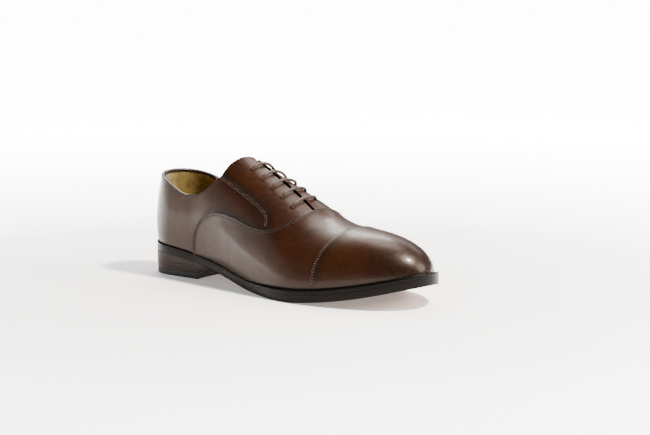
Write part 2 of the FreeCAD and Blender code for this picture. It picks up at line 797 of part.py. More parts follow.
def make_blind_eyelets():
    """Thin brass rings between each facing and its lining, one round every hole."""
    rings = []
    for name, side in SIDES:
        for index in range(EYELETS):
            centre, normal = eyelet_frame(index, side)
            seat = centre - normal * (size("eyelet_depth") + size("eyelet_thick"))
            turn = Rotation(Vector(0, 0, 1), normal)
            parts = []
            for role, radius in (("disc", "eyelet_rim"), ("bore", "eyelet_hole")):
                disc = doc.addObject("Part::Cylinder", "eyelet_%s_%s_%d" % (role, name, index + 1))
                disc.setExpression("Radius", "Sizes.%s * 1 mm" % radius)
                disc.setExpression("Height", "Sizes.eyelet_thick * 1 mm")
                disc.Placement = Placement(seat, turn)
                parts.append(disc)
            ring = doc.addObject("Part::Cut", "eyelet_%s_%d" % (name, index + 1))
            ring.Base, ring.Tool = parts
            rings.append(ring)
    group = doc.addObject("Part::Compound", "blind_eyelets")
    group.Links = rings
    doc.recompute()
    place(group)


LACE_IN, LACE_OUT = 5.15, 3.1
LACE_LEAN = math.radians(17)
BAR_RISE = 5.2
LACE_FOLD = 2.8


def lace_through(index, side):
    """Points of the lace just outside and just inside an eyelet. It leans towards the ridge."""
    centre, normal = eyelet_frame(index, side)
    above = eyelet_frame(index, side, -1.0)[0]
    to_ridge = above - centre
    to_ridge = (to_ridge - normal * to_ridge.dot(normal)).normalize()
    lean = normal * math.cos(LACE_LEAN) + to_ridge * math.sin(LACE_LEAN)
    middle = centre - normal * LINING_IN / 2
    return middle + lean * (LACE_OUT + LINING_IN / 2), middle - lean * (LACE_IN - LINING_IN / 2)


def bar_top(index):
    """Highest point of a lace bar, over the ridge."""
    point, normal = instep_frame(eyelet_x(index), 0.0)
    return point + normal * BAR_RISE


def beside(index, side, shift):
    """Point inside the facing beside an eyelet, moved away from the ridge by shift."""
    centre, normal = eyelet_frame(index, side, shift)
    return centre - normal * LACE_IN


LACE_PASS = 3.1
# Loose ends inside the shoe, along its wall: (station, section angle in degrees, depth).
TAIL_LATERAL = [(131, 58, 5.4), (138, 44, 5.4), (150, 33, 5.9), (166, 26, 6.5), (184, 22, 7.2), (203, 20, 8)]
TAIL_MEDIAL = [(118, 46, 5.4), (128, 36, 5.4), (142, 28, 5.9), (158, 23, 6.5), (177, 20, 7.2), (197, 20, 8)]


def tail(stations, side):
    points = []
    for x, degrees, depth in stations:
        angle = math.radians(degrees if side == LATERAL else 180 - degrees)
        points.append(under_surface(x, angle, depth))
    return points


def lace_route():
    """Points of the lace and, for each, the radius of its fold, or None for as large as it can be.

    The lace enters at the fourth pair, and straight bars cross the instep. Inside, it runs 4-2 and 1-3
    on the medial side and 2-1 and 3-5 on the lateral side, and leaves at the fifth pair.
    """
    route = [(p, None) for p in tail(TAIL_LATERAL, LATERAL)[::-1]]

    def over(index, side):
        """One bar, from the eyelet on this side to the one across."""
        out_from, in_from = lace_through(index, side)
        out_to, in_to = lace_through(index, -side)
        route.append((in_from, LACE_FOLD))
        route.append((out_from, LACE_FOLD))
        route.append((bar_top(index), None))
        route.append((out_to, LACE_FOLD))
        route.append((in_to, LACE_FOLD))

    over(3, LATERAL)
    route.append((beside(2, MEDIAL, LACE_PASS), None))
    over(1, MEDIAL)
    over(0, LATERAL)
    route.append((beside(1, MEDIAL, -LACE_PASS), None))
    over(2, MEDIAL)
    route.append((beside(3, LATERAL, -LACE_PASS), None))
    over(4, LATERAL)
    route += [(p, None) for p in tail(TAIL_MEDIAL, MEDIAL)]
    return route


def rounded_wire(route):
    """Straight runs joined by tangent arcs, with the radii that were used."""
    edges, radii = [], []
    start = route[0][0]
    for (before, _), (corner, fold), (after, _) in zip(route, route[1:], route[2:]):
        back, ahead = before - corner, after - corner
        shorter = min(back.Length, ahead.Length)
        back.normalize()
        ahead.normalize()
        half_turn = (math.pi - back.getAngle(ahead)) / 2
        radius = 0.45 * shorter / math.tan(half_turn)
        if fold:
            radius = min(radius, fold)
        reach = radius * math.tan(half_turn)
        first, last = corner + back * reach, corner + ahead * reach
        inward = (back + ahead).normalize()
        middle = corner + inward * (radius / math.cos(half_turn) - radius)
        edges.append(Part.LineSegment(start, first).toShape())
        edges.append(Part.Arc(first, middle, last).toShape())
        radii.append(radius)
        start = last
    edges.append(Part.LineSegment(start, route[-1][0]).toShape())
    return Part.Wire(edges), radii


def make_lace():
    route = lace_route()
    wire, radii = rounded_wire(route)
    start, ahead = route[0][0], route[1][0] - route[0][0]
    circle = Part.Wire(Part.Circle(start, ahead, size("lace_radius")).toShape())
    tube = wire.makePipeShell([circle], True, False)
    piece("lace", tube)
    section_area = math.pi * size("lace_radius") ** 2
    ratio = tube.Volume / (section_area * wire.Length)
    print("lace length %.1f mm, volume ratio %.4f" % (wire.Length, ratio))
    print("lace radii", " ".join("%.1f" % r for r in radii))
    tips = []
    for index, (end, inner) in enumerate([(route[0][0], route[1][0]), (route[-1][0], route[-2][0])], start=1):
        tip = doc.addObject("Part::Cylinder", "aglet_%d" % index)
        tip.setExpression("Radius", "Sizes.aglet_radius * 1 mm")
        tip.setExpression("Height", "Sizes.aglet_length * 1 mm")
        tip.Placement = Placement(end, Rotation(Vector(0, 0, 1), end - inner))
        tips.append(tip)
    group = doc.addObject("Part::Compound", "lace_aglets")
    group.Links = tips
    doc.recompute()
    place(group)


# ---------------------------------------------------------------- build, check and write


def check_document():
    for thing in doc.Objects:
        if "Invalid" in thing.State or "Error" in thing.State:
            raise RuntimeError("%s failed: %s" % (thing.Label, thing.State))
    for part in SUB_PARTS:
        sound = part.Shape.isValid() and part.Shape.Solids and part.Shape.Volume > 0
        if part.Shape.isNull() or not sound:
            raise RuntimeError("%s has no valid solid" % part.Label)


make_outer_panels()
make_linings()
make_stiffeners()
make_topline_binding()
make_tongue()
make_sole()
make_heel()
make_blind_eyelets()
make_lace()
doc.recompute()
check_document()

os.makedirs("parts", exist_ok=True)
for part in SUB_PARTS:
    part.Shape.exportStep(os.path.join("parts", part.Label + ".step"))
    bounds = part.Shape.optimalBoundingBox()
    reach = (bounds.XMin, bounds.XMax, bounds.YMin, bounds.YMax, bounds.ZMin, bounds.ZMax)
    print(part.Label, len(part.Shape.Solids), round(part.Shape.Volume), " ".join("%.1f" % v for v in reach))
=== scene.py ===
"""Looks of the right cap-toe oxford shoe, built round its CAD frame.

Shapes are worked out in millimetres in the part's design coordinates: X from the back of the heel
towards the toe, +Y to the inner side, +Z up. in_frame() turns them into metres in the shared frame.
"""
import math

import bmesh
import bpy
import numpy as np
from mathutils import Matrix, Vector


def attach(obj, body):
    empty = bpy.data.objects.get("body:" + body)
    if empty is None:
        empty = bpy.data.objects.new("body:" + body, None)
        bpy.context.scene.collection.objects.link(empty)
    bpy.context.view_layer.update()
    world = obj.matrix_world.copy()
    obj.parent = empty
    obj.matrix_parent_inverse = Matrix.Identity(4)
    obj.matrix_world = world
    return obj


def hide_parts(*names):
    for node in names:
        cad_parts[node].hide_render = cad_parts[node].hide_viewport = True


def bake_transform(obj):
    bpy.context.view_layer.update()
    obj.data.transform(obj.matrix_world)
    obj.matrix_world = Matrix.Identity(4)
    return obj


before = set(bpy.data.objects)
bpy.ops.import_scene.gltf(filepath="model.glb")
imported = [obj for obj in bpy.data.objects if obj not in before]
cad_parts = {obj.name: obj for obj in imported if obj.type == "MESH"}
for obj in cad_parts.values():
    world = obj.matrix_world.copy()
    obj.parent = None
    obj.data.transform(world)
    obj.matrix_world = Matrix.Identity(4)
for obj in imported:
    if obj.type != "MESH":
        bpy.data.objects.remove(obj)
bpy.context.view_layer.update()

ORIGIN = np.array([148.55, -1.15, 0.0])
LENGTH, BASE = 296.0, 4.0
rng = np.random.default_rng(7)


def in_frame(points):
    return (np.asarray(points) - ORIGIN) / 1000


# ---------------------------------------------------------------- camera, lights and floor

TARGET = Vector(in_frame([186.96, 0.0, 62.03]))
AZIMUTH, ELEVATION, DISTANCE = math.radians(43.15), math.radians(8.31), 1.745


def look_at(thing, place, target):
    thing.location = place
    thing.rotation_euler = (Vector(target) - Vector(place)).to_track_quat("-Z", "Y").to_euler()


back = Vector((math.sin(AZIMUTH) * math.cos(ELEVATION), -math.cos(AZIMUTH) * math.cos(ELEVATION),
               math.sin(ELEVATION)))
camera = bpy.data.objects.new("camera", bpy.data.cameras.new("camera"))
camera.data.lens = 117.9
camera.data.sensor_width = 36
camera.data.clip_end = 60
look_at(camera, TARGET + back * DISTANCE, TARGET)
bpy.context.scene.collection.objects.link(camera)
bpy.context.scene.camera = camera


WARM = (1.0, 0.94, 0.88)


def area_light(name, place, target, width, height, power):
    light = bpy.data.lights.new(name, "AREA")
    light.shape, light.size, light.size_y = "RECTANGLE", width, height
    light.energy, light.color = power, WARM
    thing = bpy.data.objects.new(name, light)
    look_at(thing, place, target)
    bpy.context.scene.collection.objects.link(thing)


area_light("behind_left", (-1.05, 0.95, 1.3), (0.05, 0, 0.05), 0.9, 0.45, 30)
area_light("behind", (-0.45, 1.5, 1.0), (0, 0, 0.05), 0.8, 0.35, 3)
area_light("toe_key", (0.82, 0.33, 1.5), (0.13, 0, 0.04), 0.22, 0.18, 108)
area_light("toe_soft", (1.3, 0.9, 0.85), (0.12, 0, 0.04), 0.9, 0.7, 34)
area_light("left", (-1.5, -1.2, 0.5), (-0.05, 0, 0.05), 1.0, 0.8, 3)
area_light("overhead", (-0.45, 0.7, 1.9), (0.0, 0.0, 0.05), 0.8, 0.7, 16)

world = bpy.data.worlds.new("studio")
bpy.context.scene.world = world
world.use_nodes = True
world.node_tree.nodes["Background"].inputs["Color"].default_value = (1, 1, 1, 1)
world.node_tree.nodes["Background"].inputs["Strength"].default_value = 0.2

# ---------------------------------------------------------------- materials


class Nodes:
    """Short way to write a material: n("Type", socket=value or node output)."""

    def __init__(self, name):
        self.material = bpy.data.materials.new(name)
        self.material.use_nodes = True
        self.tree = self.material.node_tree
        self.shader = self.tree.nodes["Principled BSDF"]

    def set(self, node, sockets):
        for key, value in sockets.items():
            socket = node.inputs[key]
            if isinstance(value, bpy.types.NodeSocket):
                self.tree.links.new(value, socket)
            else:
                socket.default_value = value

    def node(self, kind, settings=None, sockets=None, out=0):
        node = self.tree.nodes.new("ShaderNode" + kind)
        for key, value in (settings or {}).items():
            setattr(node, key, value)
        self.set(node, sockets or {})
        return node.outputs[out]

    def place(self):
        return self.node("TexCoord", out="Object")

    def tone(self):
        """The vertex tones of a piece: how burnished, or how high or pale, and how dark a line. On thread
        and lace the first is a painted highlight and the second a painted shade.
        """
        attribute = self.node("Attribute", {"attribute_name": "tone"}, out="Color")
        split = self.tree.nodes.new("ShaderNodeSeparateColor")
        self.tree.links.new(attribute, split.inputs[0])
        return split.outputs[0], split.outputs[1]

    def noise(self, vector, scale, detail=2.0, rough=0.5):
        return self.node("TexNoise", None, {"Vector": vector, "Scale": scale, "Detail": detail,
                                            "Roughness": rough})

    def cells(self, vector, scale, feature="F1"):
        return self.node("TexVoronoi", {"feature": feature}, {"Vector": vector, "Scale": scale}, "Distance")

    def math(self, operation, a, b=0.0, clamp=False):
        return self.node("Math", {"operation": operation, "use_clamp": clamp}, {0: a, 1: b})

    def span(self, value, low, high, to_low=0.0, to_high=1.0):
        return self.node("MapRange", None, {"Value": value, "From Min": low, "From Max": high,
                                            "To Min": to_low, "To Max": to_high})

    def mix(self, factor, a, b, blend="MIX"):
        node = self.tree.nodes.new("ShaderNodeMix")
        node.data_type, node.blend_type = "RGBA", blend
        for socket, value in ((node.inputs[0], factor), (node.inputs[6], a), (node.inputs[7], b)):
            if isinstance(value, bpy.types.NodeSocket):
                self.tree.links.new(value, socket)
            elif isinstance(value, (int, float)):
                socket.default_value = value
            else:
                socket.default_value = (*value, 1)
        return node.outputs[2]

    def bump(self, height, distance, strength=1.0, normal=None):
        sockets = {"Height": height, "Distance": distance, "Strength": strength}
        if normal is not None:
            sockets["Normal"] = normal
        return self.node("Bump", None, sockets)

    def finish(self, **sockets):
        self.set(self.shader, {key.replace("_", " "): value for key, value in sockets.items()})
        return self.material


def calf(name, light, mid, dark, black, gloss=0.30):
    """Polished calf: mottled dye, fine pores, soft waves, darker burnish and seams."""
    n = Nodes(name)
    at = n.place()
    burnish, line = n.tone()
    cloud = n.noise(at, 22, 3)
    fine = n.noise(at, 260, 3, 0.6)
    mottle = n.math("ADD", n.math("MULTIPLY", cloud, 0.75), n.math("MULTIPLY", fine, 0.25))
    colour = n.mix(n.span(mottle, 0.36, 0.64), mid, light)
    shade = n.math("ADD", burnish, n.span(cloud, 0.3, 0.7, -0.12, 0.12), True)
    colour = n.mix(shade, colour, dark)
    colour = n.mix(line, colour, black)
    pores = n.cells(at, 1500)
    grain = n.cells(at, 620, "SMOOTH_F1")
    pitted = n.math("MULTIPLY", n.span(pores, 0.0, 0.5), 0.35)
    height = n.math("ADD", pitted, n.math("MULTIPLY", grain, 0.45))
    height = n.math("ADD", height, n.math("MULTIPLY", fine, 0.6))
    waves = n.bump(n.noise(at, 55, 2), 0.0007, 0.5)
    rough = n.math("ADD", n.span(fine, 0.3, 0.7, gloss, gloss + 0.13), n.math("MULTIPLY", line, 0.2))
    return n.finish(Base_Color=colour, Roughness=rough, Normal=n.bump(height, 0.00006, 0.75, waves),
                    Coat_Weight=0.09, Coat_Roughness=0.12, Specular_IOR_Level=0.2,
                    Specular_Tint=(1.0, 0.80, 0.66, 1.0))


def waxed_edge(name, colour, warm, gloss):
    """Inked and waxed leather edge with fine streaks, and the natural leather where it is bare."""
    n = Nodes(name)
    at = n.place()
    bare = n.tone()[0]
    stretched = n.node("Mapping", None, {"Vector": at, "Scale": (0.25, 0.25, 2.2)})
    streak = n.noise(stretched, 900, 3, 0.6)
    patch = n.noise(at, 60, 2)
    ink = n.mix(n.span(patch, 0.35, 0.7), colour, tuple(c * 1.8 for c in colour))
    natural = n.mix(n.noise(at, 90, 3), warm, tuple(c * 0.72 for c in warm))
    base = n.mix(bare, ink, natural)
    rough = n.span(streak, 0.3, 0.7, gloss, gloss + 0.16)
    height = n.math("ADD", streak, n.math("MULTIPLY", n.noise(at, 420, 2), 0.7))
    return n.finish(Base_Color=base, Roughness=rough, Normal=n.bump(height, 0.00007, 0.6),
                    Specular_IOR_Level=0.09, Specular_Tint=(1.0, 0.86, 0.8, 1.0))


def lining_leather(name, light, dark):
    n = Nodes(name)
    at = n.place()
    cloud = n.noise(at, 35, 4, 0.6)
    pores = n.cells(at, 1300)
    colour = n.mix(n.span(cloud, 0.32, 0.68), dark, light)
    colour = n.mix(n.span(pores, 0.0, 0.16, 0.35, 0.0), colour, tuple(c * 0.5 for c in dark))
    height = n.math("ADD", pores, n.noise(at, 500, 2))
    return n.finish(Base_Color=colour, Roughness=n.span(cloud, 0.3, 0.7, 0.5, 0.62),
                    Normal=n.bump(height, 0.00007, 0.6), Specular_IOR_Level=0.35)


def nap(name, light, mid, dark):
    """Brushed suede: patches of nap that lie different ways, over a short fuzz."""
    n = Nodes(name)
    at = n.place()
    patch = n.noise(at, 120, 5, 0.65)
    fuzz = n.noise(at, 1500, 3, 0.7)
    colour = n.mix(n.span(patch, 0.38, 0.6), dark, mid)
    colour = n.mix(n.span(fuzz, 0.45, 0.75), colour, light)
    height = n.math("ADD", n.math("MULTIPLY", patch, 2.0), fuzz)
    return n.finish(Base_Color=colour, Roughness=0.95, Normal=n.bump(height, 0.0002, 0.7),
                    Sheen_Weight=0.5, Sheen_Roughness=0.4, Specular_IOR_Level=0.15)


def woven(name, light, dark, scale):
    n = Nodes(name)
    at = n.place()
    warp = n.node("TexWave", {"bands_direction": "X"}, {"Vector": at, "Scale": scale, "Distortion": 0.3})
    weft = n.node("TexWave", {"bands_direction": "Z"}, {"Vector": at, "Scale": scale, "Distortion": 0.3})
    cross = n.math("MULTIPLY", warp, weft)
    return n.finish(Base_Color=n.mix(cross, dark, light), Roughness=0.9, Normal=n.bump(cross, 0.0001, 0.6))


def thread(name, light, dark, gloss):
    """Waxed thread or lace, with painted light: the first tone, the strands' height on the lace and each
    row's paleness on the stitches, paints the thread lighter as a painted highlight, and the second paints
    crevices and stitch ends darker as painted shade.
    """
    n = Nodes(name)
    at = n.place()
    height, line = n.tone()
    fibre = n.noise(at, 2600, 3, 0.6)
    # Painted light: the first tone paints high strands and pale stitch rows lighter as a painted highlight;
    # below, the second tone paints crevices darker as painted shade.
    colour = n.mix(height, dark, light)
    colour = n.mix(n.span(n.noise(at, 190, 2), 0.35, 0.7, 0.0, 0.5), colour, dark)
    colour = n.mix(line, colour, tuple(c * 0.3 for c in dark))
    return n.finish(Base_Color=colour, Roughness=n.span(fibre, 0.3, 0.7, gloss, gloss + 0.2),
                    Normal=n.bump(fibre, 0.00004, 0.6), Specular_IOR_Level=0.3)


def grained(name, light, dark, scale, rough, metal=0.0, depth=0.00005):
    """Plain stock with a grain: rubber, cork, board or metal."""
    n = Nodes(name)
    at = n.place()
    cell = n.cells(at, scale)
    cloud = n.noise(at, scale / 6, 3)
    colour = n.mix(n.span(n.math("MULTIPLY", cell, cloud), 0.1, 0.4), dark, light)
    return n.finish(Base_Color=colour, Roughness=n.span(cloud, 0.3, 0.7, rough, rough + 0.1),
                    Metallic=metal, Normal=n.bump(cell, depth, 0.6))


UPPER = calf("burnished_calf", (0.024, 0.0064, 0.0012), (0.013, 0.0034, 0.0008), (0.0042, 0.0013, 0.0005),
             (0.0022, 0.0008, 0.0004))
TONGUE = calf("tongue_calf", (0.06, 0.021, 0.010), (0.036, 0.0125, 0.0068), (0.011, 0.005, 0.0036),
              (0.003, 0.0018, 0.0015), 0.4)
BINDING = calf("folded_calf", (0.006, 0.0022, 0.0012), (0.004, 0.0015, 0.0009), (0.002, 0.001, 0.0007),
               (0.0008, 0.0005, 0.0004))
EDGE = waxed_edge("inked_edge", (0.0012, 0.0011, 0.0012), (0.30, 0.12, 0.03), 0.25)
# Painted sheen: the heel lifts are inked black like the sole's edge, but their colour is painted lighter to
# stand in for their satin sheen.
HEEL = waxed_edge("inked_lifts_painted_sheen", (0.021, 0.0150, 0.0140), (0.1, 0.05, 0.02), 0.32)
RUBBER = grained("heel_rubber", (0.006, 0.0058, 0.0058), (0.0035, 0.0034, 0.0034), 900, 0.55)
TAN = lining_leather("tan_lining", (0.34, 0.135, 0.025), (0.24, 0.09, 0.016))
SOCK = lining_leather("sock_leather", (0.36, 0.19, 0.075), (0.27, 0.135, 0.05))
SUEDE = nap("olive_suede", (0.27, 0.205, 0.050), (0.15, 0.107, 0.022), (0.075, 0.05, 0.011))
CANVAS = woven("cotton_drill", (0.7, 0.64, 0.5), (0.45, 0.4, 0.3), 900)
LACE = thread("waxed_lace", (0.060, 0.021, 0.008), (0.011, 0.004, 0.0018), 0.42)
SEAM_THREAD = thread("seam_thread", (0.20, 0.125, 0.08), (0.010, 0.004, 0.002), 0.4)
BRASS = grained("brass_rings", (0.72, 0.53, 0.25), (0.6, 0.42, 0.18), 700, 0.25, 1.0, 0.00001)
STEEL = grained("blued_steel", (0.4, 0.41, 0.45), (0.25, 0.26, 0.3), 500, 0.3, 1.0, 0.00001)
CORK = grained("cork_paste", (0.5, 0.34, 0.2), (0.24, 0.14, 0.08), 450, 0.85)
BOARD = grained("leather_board", (0.55, 0.42, 0.28), (0.4, 0.28, 0.17), 1100, 0.8)
ACETATE = grained("aglet_acetate", (0.13, 0.06, 0.03), (0.08, 0.035, 0.02), 600, 0.25)

TOWARDS_BACKDROP = (-0.68, 0.73, 0.0)


def pale_floor():
    """White paper that glows more away from the shoe, and most behind it."""
    n = Nodes("pale_floor")
    at = n.place()
    away = n.node("VectorMath", {"operation": "LENGTH"}, {0: at}, out="Value")
    near_glow = n.span(away, 0.1, 0.4, 0.3, 1.8)
    behind = n.node("VectorMath", {"operation": "DOT_PRODUCT"}, {0: at, 1: TOWARDS_BACKDROP}, out="Value")
    far_glow = n.math("MULTIPLY", n.span(away, 0.35, 1.2, 0.0, 12.0), n.span(behind, -0.8, 0.3, 0.12, 1.0))
    glow = n.math("ADD", near_glow, far_glow)
    colour = n.mix(n.noise(at, 3, 2), (0.93, 0.93, 0.93), (0.96, 0.96, 0.96))
    return n.finish(Base_Color=colour, Roughness=0.6, Specular_IOR_Level=0.15,
                    Emission_Color=(1, 1, 1, 1), Emission_Strength=glow)


# ---------------------------------------------------------------- the last, as in the part


def spline(stations):
    """Natural cubic spline through (position, value) stations."""
    xs, ys = np.array(stations, float).T
    gap = np.diff(xs)
    last = len(xs) - 1
    system, right = np.eye(len(xs)), np.zeros(len(xs))
    for i in range(1, last):
        system[i, i - 1:i + 2] = gap[i - 1], 2 * (gap[i - 1] + gap[i]), gap[i]
        right[i] = 6 * ((ys[i + 1] - ys[i]) / gap[i] - (ys[i] - ys[i - 1]) / gap[i - 1])
    curve = np.linalg.solve(system, right)

    def value_at(x):
        x = np.asarray(x, float)
        i = np.clip(np.searchsorted(xs, x) - 1, 0, last - 1)
        after, before, span = xs[i + 1] - x, x - xs[i], gap[i]
        cubic = (curve[i] * after**3 + curve[i + 1] * before**3) / (6 * span)
        start = (ys[i] / span - curve[i] * span / 6) * after
        end = (ys[i + 1] / span - curve[i + 1] * span / 6) * before
        return cubic + (start + end)

    return value_at


def smooth_step(x, start, end):
    t = np.clip((np.asarray(x, float) - start) / (end - start), 0, 1)
    return t**3 * (t * (6 * t - 15) + 10)


feather_height = spline([(0, 27.6), (40, 25.4), (70, 21.2), (100, 15.6), (135, 9.8), (165, 9.6), (195, 10.4),
                         (225, 13.4), (260, 19.4), (296, 28.2)])
ridge_height = spline([(0, 142), (30, 140), (60, 131), (80, 119), (100, 106), (130, 92), (150, 83.4),
                       (172, 73.4), (190, 64.5), (210, 59), (232, 57.2), (260, 57), (296, 58.5)])
half_width = spline([(0, 33.6), (35, 34.6), (70, 33.2), (100, 33), (130, 38), (160, 45.6), (190, 50.8),
                     (215, 51), (240, 49.3), (296, 45)])
lateral_swing = spline([(0, 0), (60, 0), (100, 4.5), (130, 5.5), (160, 4), (190, 2.5), (215, 0), (240, -1.5),
                        (296, -1)])
back_curve = spline([(-8, 1.5), (0, 0), (20, -2.3), (40, -0.5), (57, 4), (75, 9)])
tuck_in = spline([(0, 0.07), (60, 0.07), (110, 0.09), (150, 0.04), (190, 0.02), (240, 0.02), (296, 0.03)])
fullness = spline([(0, 2), (50, 2), (80, 2.5), (100, 2.7), (130, 2.6), (160, 2.4), (190, 2.25), (240, 2.3),
                   (296, 2.3)])
ground_height = spline([(0, 19.6), (40, 17.8), (70, 13.7), (100, 7.8), (135, 1.9), (165, 0.25), (190, -0.2),
                        (225, 2.8), (260, 8.8), (296, 18)])
welt_height = spline([(0, 2.4), (70, 2.2), (120, 2.2), (180, 3.2), (300, 3.2)])
edge_margin = spline([(-5, 1.6), (60, 1.0), (90, 0.4), (140, 1.2), (180, 3.5), (225, 3.8), (300, 3.8)])
HEEL_ROUND, TOE_ROUND = 34.0, 60.0
TOE_REACH, TOE_POWER = 70.0, 2.6


def toe_round(x, reach, power):
    t = np.clip((x - (LENGTH - reach)) / reach, 0, 1)
    return np.sqrt(np.clip(1 - t**power, 0, None))


def section_height(x):
    return (ridge_height(x) - feather_height(x) + BASE) * toe_round(x, TOE_REACH, TOE_POWER)


def section(x, angle):
    """Points of the upper's outside. The angle runs from 0 at the lateral base to pi at the medial base."""
    x, angle = np.broadcast_arrays(np.asarray(x, float), np.asarray(angle, float))
    heel = np.sqrt(np.clip(1 - np.clip(1 - x / HEEL_ROUND, 0, None) ** 2, 0, None))
    toe = toe_round(x, 88.0, 2.2)
    mean = half_width(x) * heel * toe
    swing = lateral_swing(x) * smooth_step(x, 50, 80) * toe
    s, c = np.sin(angle), np.cos(angle)
    power = fullness(x)
    full = np.sqrt(np.clip(1 - np.clip(s, 0, None) ** power, 0, None) / np.maximum(c * c, 1e-7))
    full = np.where(c * c > 1e-7, full, np.sqrt(power / 2))
    rise = section_height(x) * s - BASE
    across = (mean * c + swing * c * c) * full * (1 - tuck_in(x) * np.exp(-rise / 7.0))
    shift = back_curve(np.clip(rise, -8, 75)) * np.clip(1 - x / 58.0, 0, None) ** 3
    return np.stack([x + shift, -across, rise + feather_height(x)], -1)


def unit(v):
    return v / np.maximum(np.linalg.norm(v, axis=-1, keepdims=True), 1e-12)


def outward(x, angle):
    along = section(x + 0.01, angle) - section(x - 0.01, angle)
    round_it = section(x, angle - 0.001) - section(x, angle + 0.001)
    return unit(np.cross(round_it, along))


def skin(x, angle, lift=0.0):
    """Points at a height above the upper's outside."""
    x, angle = np.broadcast_arrays(np.asarray(x, float), np.asarray(angle, float))
    return section(x, angle) + outward(x, angle) * np.asarray(lift, float)[..., None]


def slit_line(x):
    return 0.16 * (137.5 - x)


def angle_at(x, y):
    """Section angle, on the instep, at which the upper's outside has this y."""
    x, y = np.broadcast_arrays(np.asarray(x, float), np.asarray(y, float))
    low, high = np.full(x.shape, math.radians(10)), np.full(x.shape, math.radians(170))
    for _ in range(36):
        middle = (low + high) / 2
        below = section(x, middle)[..., 1] < y
        low, high = np.where(below, middle, low), np.where(below, high, middle)
    return low


def angle_of_height(x, z):
    """Lateral section angle at a height above ground."""
    return np.arcsin(np.clip((z - feather_height(x) + BASE) / section_height(x), 0.02, 1))


def low_angle(x):
    """Section angle of the upper's lower edge, sunk a little behind the welt."""
    sunk = 1.2
    return np.arcsin(np.clip((BASE - sunk) / np.maximum(section_height(x), BASE - sunk), 0, 1))


def on_side(angle, side):
    return angle if side < 0 else math.pi - angle


# ---------------------------------------------------------------- pattern lines, side view as (x, z)

TOPLINE = [(-14, 88), (2, 86.7), (15, 84), (30, 79.5), (44, 73.5), (57, 71.2), (70, 74), (81, 81.5),
           (92, 92), (101, 103), (108, 114)]
VAMP_TOP = [(180, 85), (181.3, 72), (181, 66), (178, 61.5), (171, 56.5), (157, 53), (141, 53.7), (124, 56.8),
            (106, 60.2), (90, 60.3), (77.5, 56), (69, 47.5), (64, 35), (63, 24), (63, 10)]
FACING_SEAM = [(80, 97), (91, 91), (107.5, 84.2), (121, 79), (135, 73.3), (147.5, 68), (155, 62.3),
               (158.3, 54.5), (158, 44)]
CAP_SEAM = [(226, 90), (225, 56), (221.8, 38), (220.8, 25), (222, -10)]


def smooth_line(points, count=500):
    """Smooth curve through side-view points, as (count, 2)."""
    points = np.array(points, float)
    along = np.concatenate([[0], np.cumsum(np.linalg.norm(np.diff(points, axis=0), axis=1))])
    t = np.linspace(0, along[-1], count)
    columns = [spline(list(zip(along, points[:, k])))(t) for k in (0, 1)]
    return np.stack(columns, -1)


def by_length(values, points, share):
    """Rows of values at shares of the length of the line through points."""
    along = np.concatenate([[0], np.cumsum(np.linalg.norm(np.diff(points, axis=0), axis=1))])
    at = np.asarray(share) * along[-1]
    return np.stack([np.interp(at, along, values[:, k]) for k in range(values.shape[1])], -1)


def surface_line(line):
    """Side-view line as (x, lateral angle), kept to the part that lies on the upper."""
    x, z = line.T
    top = ridge_height(x) - (1 - toe_round(x, TOE_REACH, TOE_POWER)) * section_height(x)
    keep = (z < top) & (z > feather_height(x) - 1.0)
    return np.stack([x[keep], angle_of_height(x[keep], z[keep])], -1)


def beside(line, distance):
    """(x, angle) line moved sideways over the surface by a distance, in a few small moves."""
    line = line.copy()
    moves = 3
    for _ in range(moves):
        points = section(line[:, 0], line[:, 1])
        tangent = unit(np.gradient(points, axis=0))
        normal = outward(line[:, 0], line[:, 1])
        move = np.cross(normal, tangent) * (distance / moves)
        by_x = (section(line[:, 0] + 0.01, line[:, 1]) - points) / 0.01
        by_angle = (section(line[:, 0], line[:, 1] + 0.0005) - points) / 0.0005
        aa, ab, bb = (by_x * by_x).sum(1), (by_x * by_angle).sum(1), (by_angle * by_angle).sum(1)
        ma, mb = (by_x * move).sum(1), (by_angle * move).sum(1)
        solve = aa * bb - ab * ab
        line[:, 0] += (ma * bb - mb * ab) / solve
        line[:, 1] += (mb * aa - ma * ab) / solve
    return line


def mirrored(line):
    return np.stack([line[:, 0], math.pi - line[:, 1]], -1)


def from_ridge(x, line):
    """Side-view line on the surface, begun on the ridge at x."""
    return np.concatenate([[[x, math.pi / 2]], surface_line(smooth_line(line))])


topline_z = spline(TOPLINE)
vamp_line = from_ridge(181.2, VAMP_TOP)
cap_line = from_ridge(225.2, CAP_SEAM)
facing_line = surface_line(smooth_line(FACING_SEAM))
facing_line = facing_line[facing_line[:, 0] > 90.6]

SEAMS_3D = {
    "vamp": [section(*vamp_line.T), section(*mirrored(vamp_line).T)],
    "facing": [section(*facing_line.T), section(*mirrored(facing_line).T)],
    "cap": [section(*cap_line.T), section(*mirrored(cap_line).T)],
}


def seam_distance(points, *names):
    """Distance of every point from the nearest of the seams."""
    flat = points.reshape(-1, 3)
    nearest = np.full(len(flat), 1e9)
    for name in names:
        for line in SEAMS_3D[name]:
            for start in range(0, len(flat), 4000):
                block = flat[start:start + 4000]
                away = np.sqrt(((block[:, None] - line[None]) ** 2).sum(-1).min(1))
                nearest[start:start + 4000] = np.minimum(nearest[start:start + 4000], away)
    return nearest.reshape(points.shape[:-1])


# ---------------------------------------------------------------- mesh building


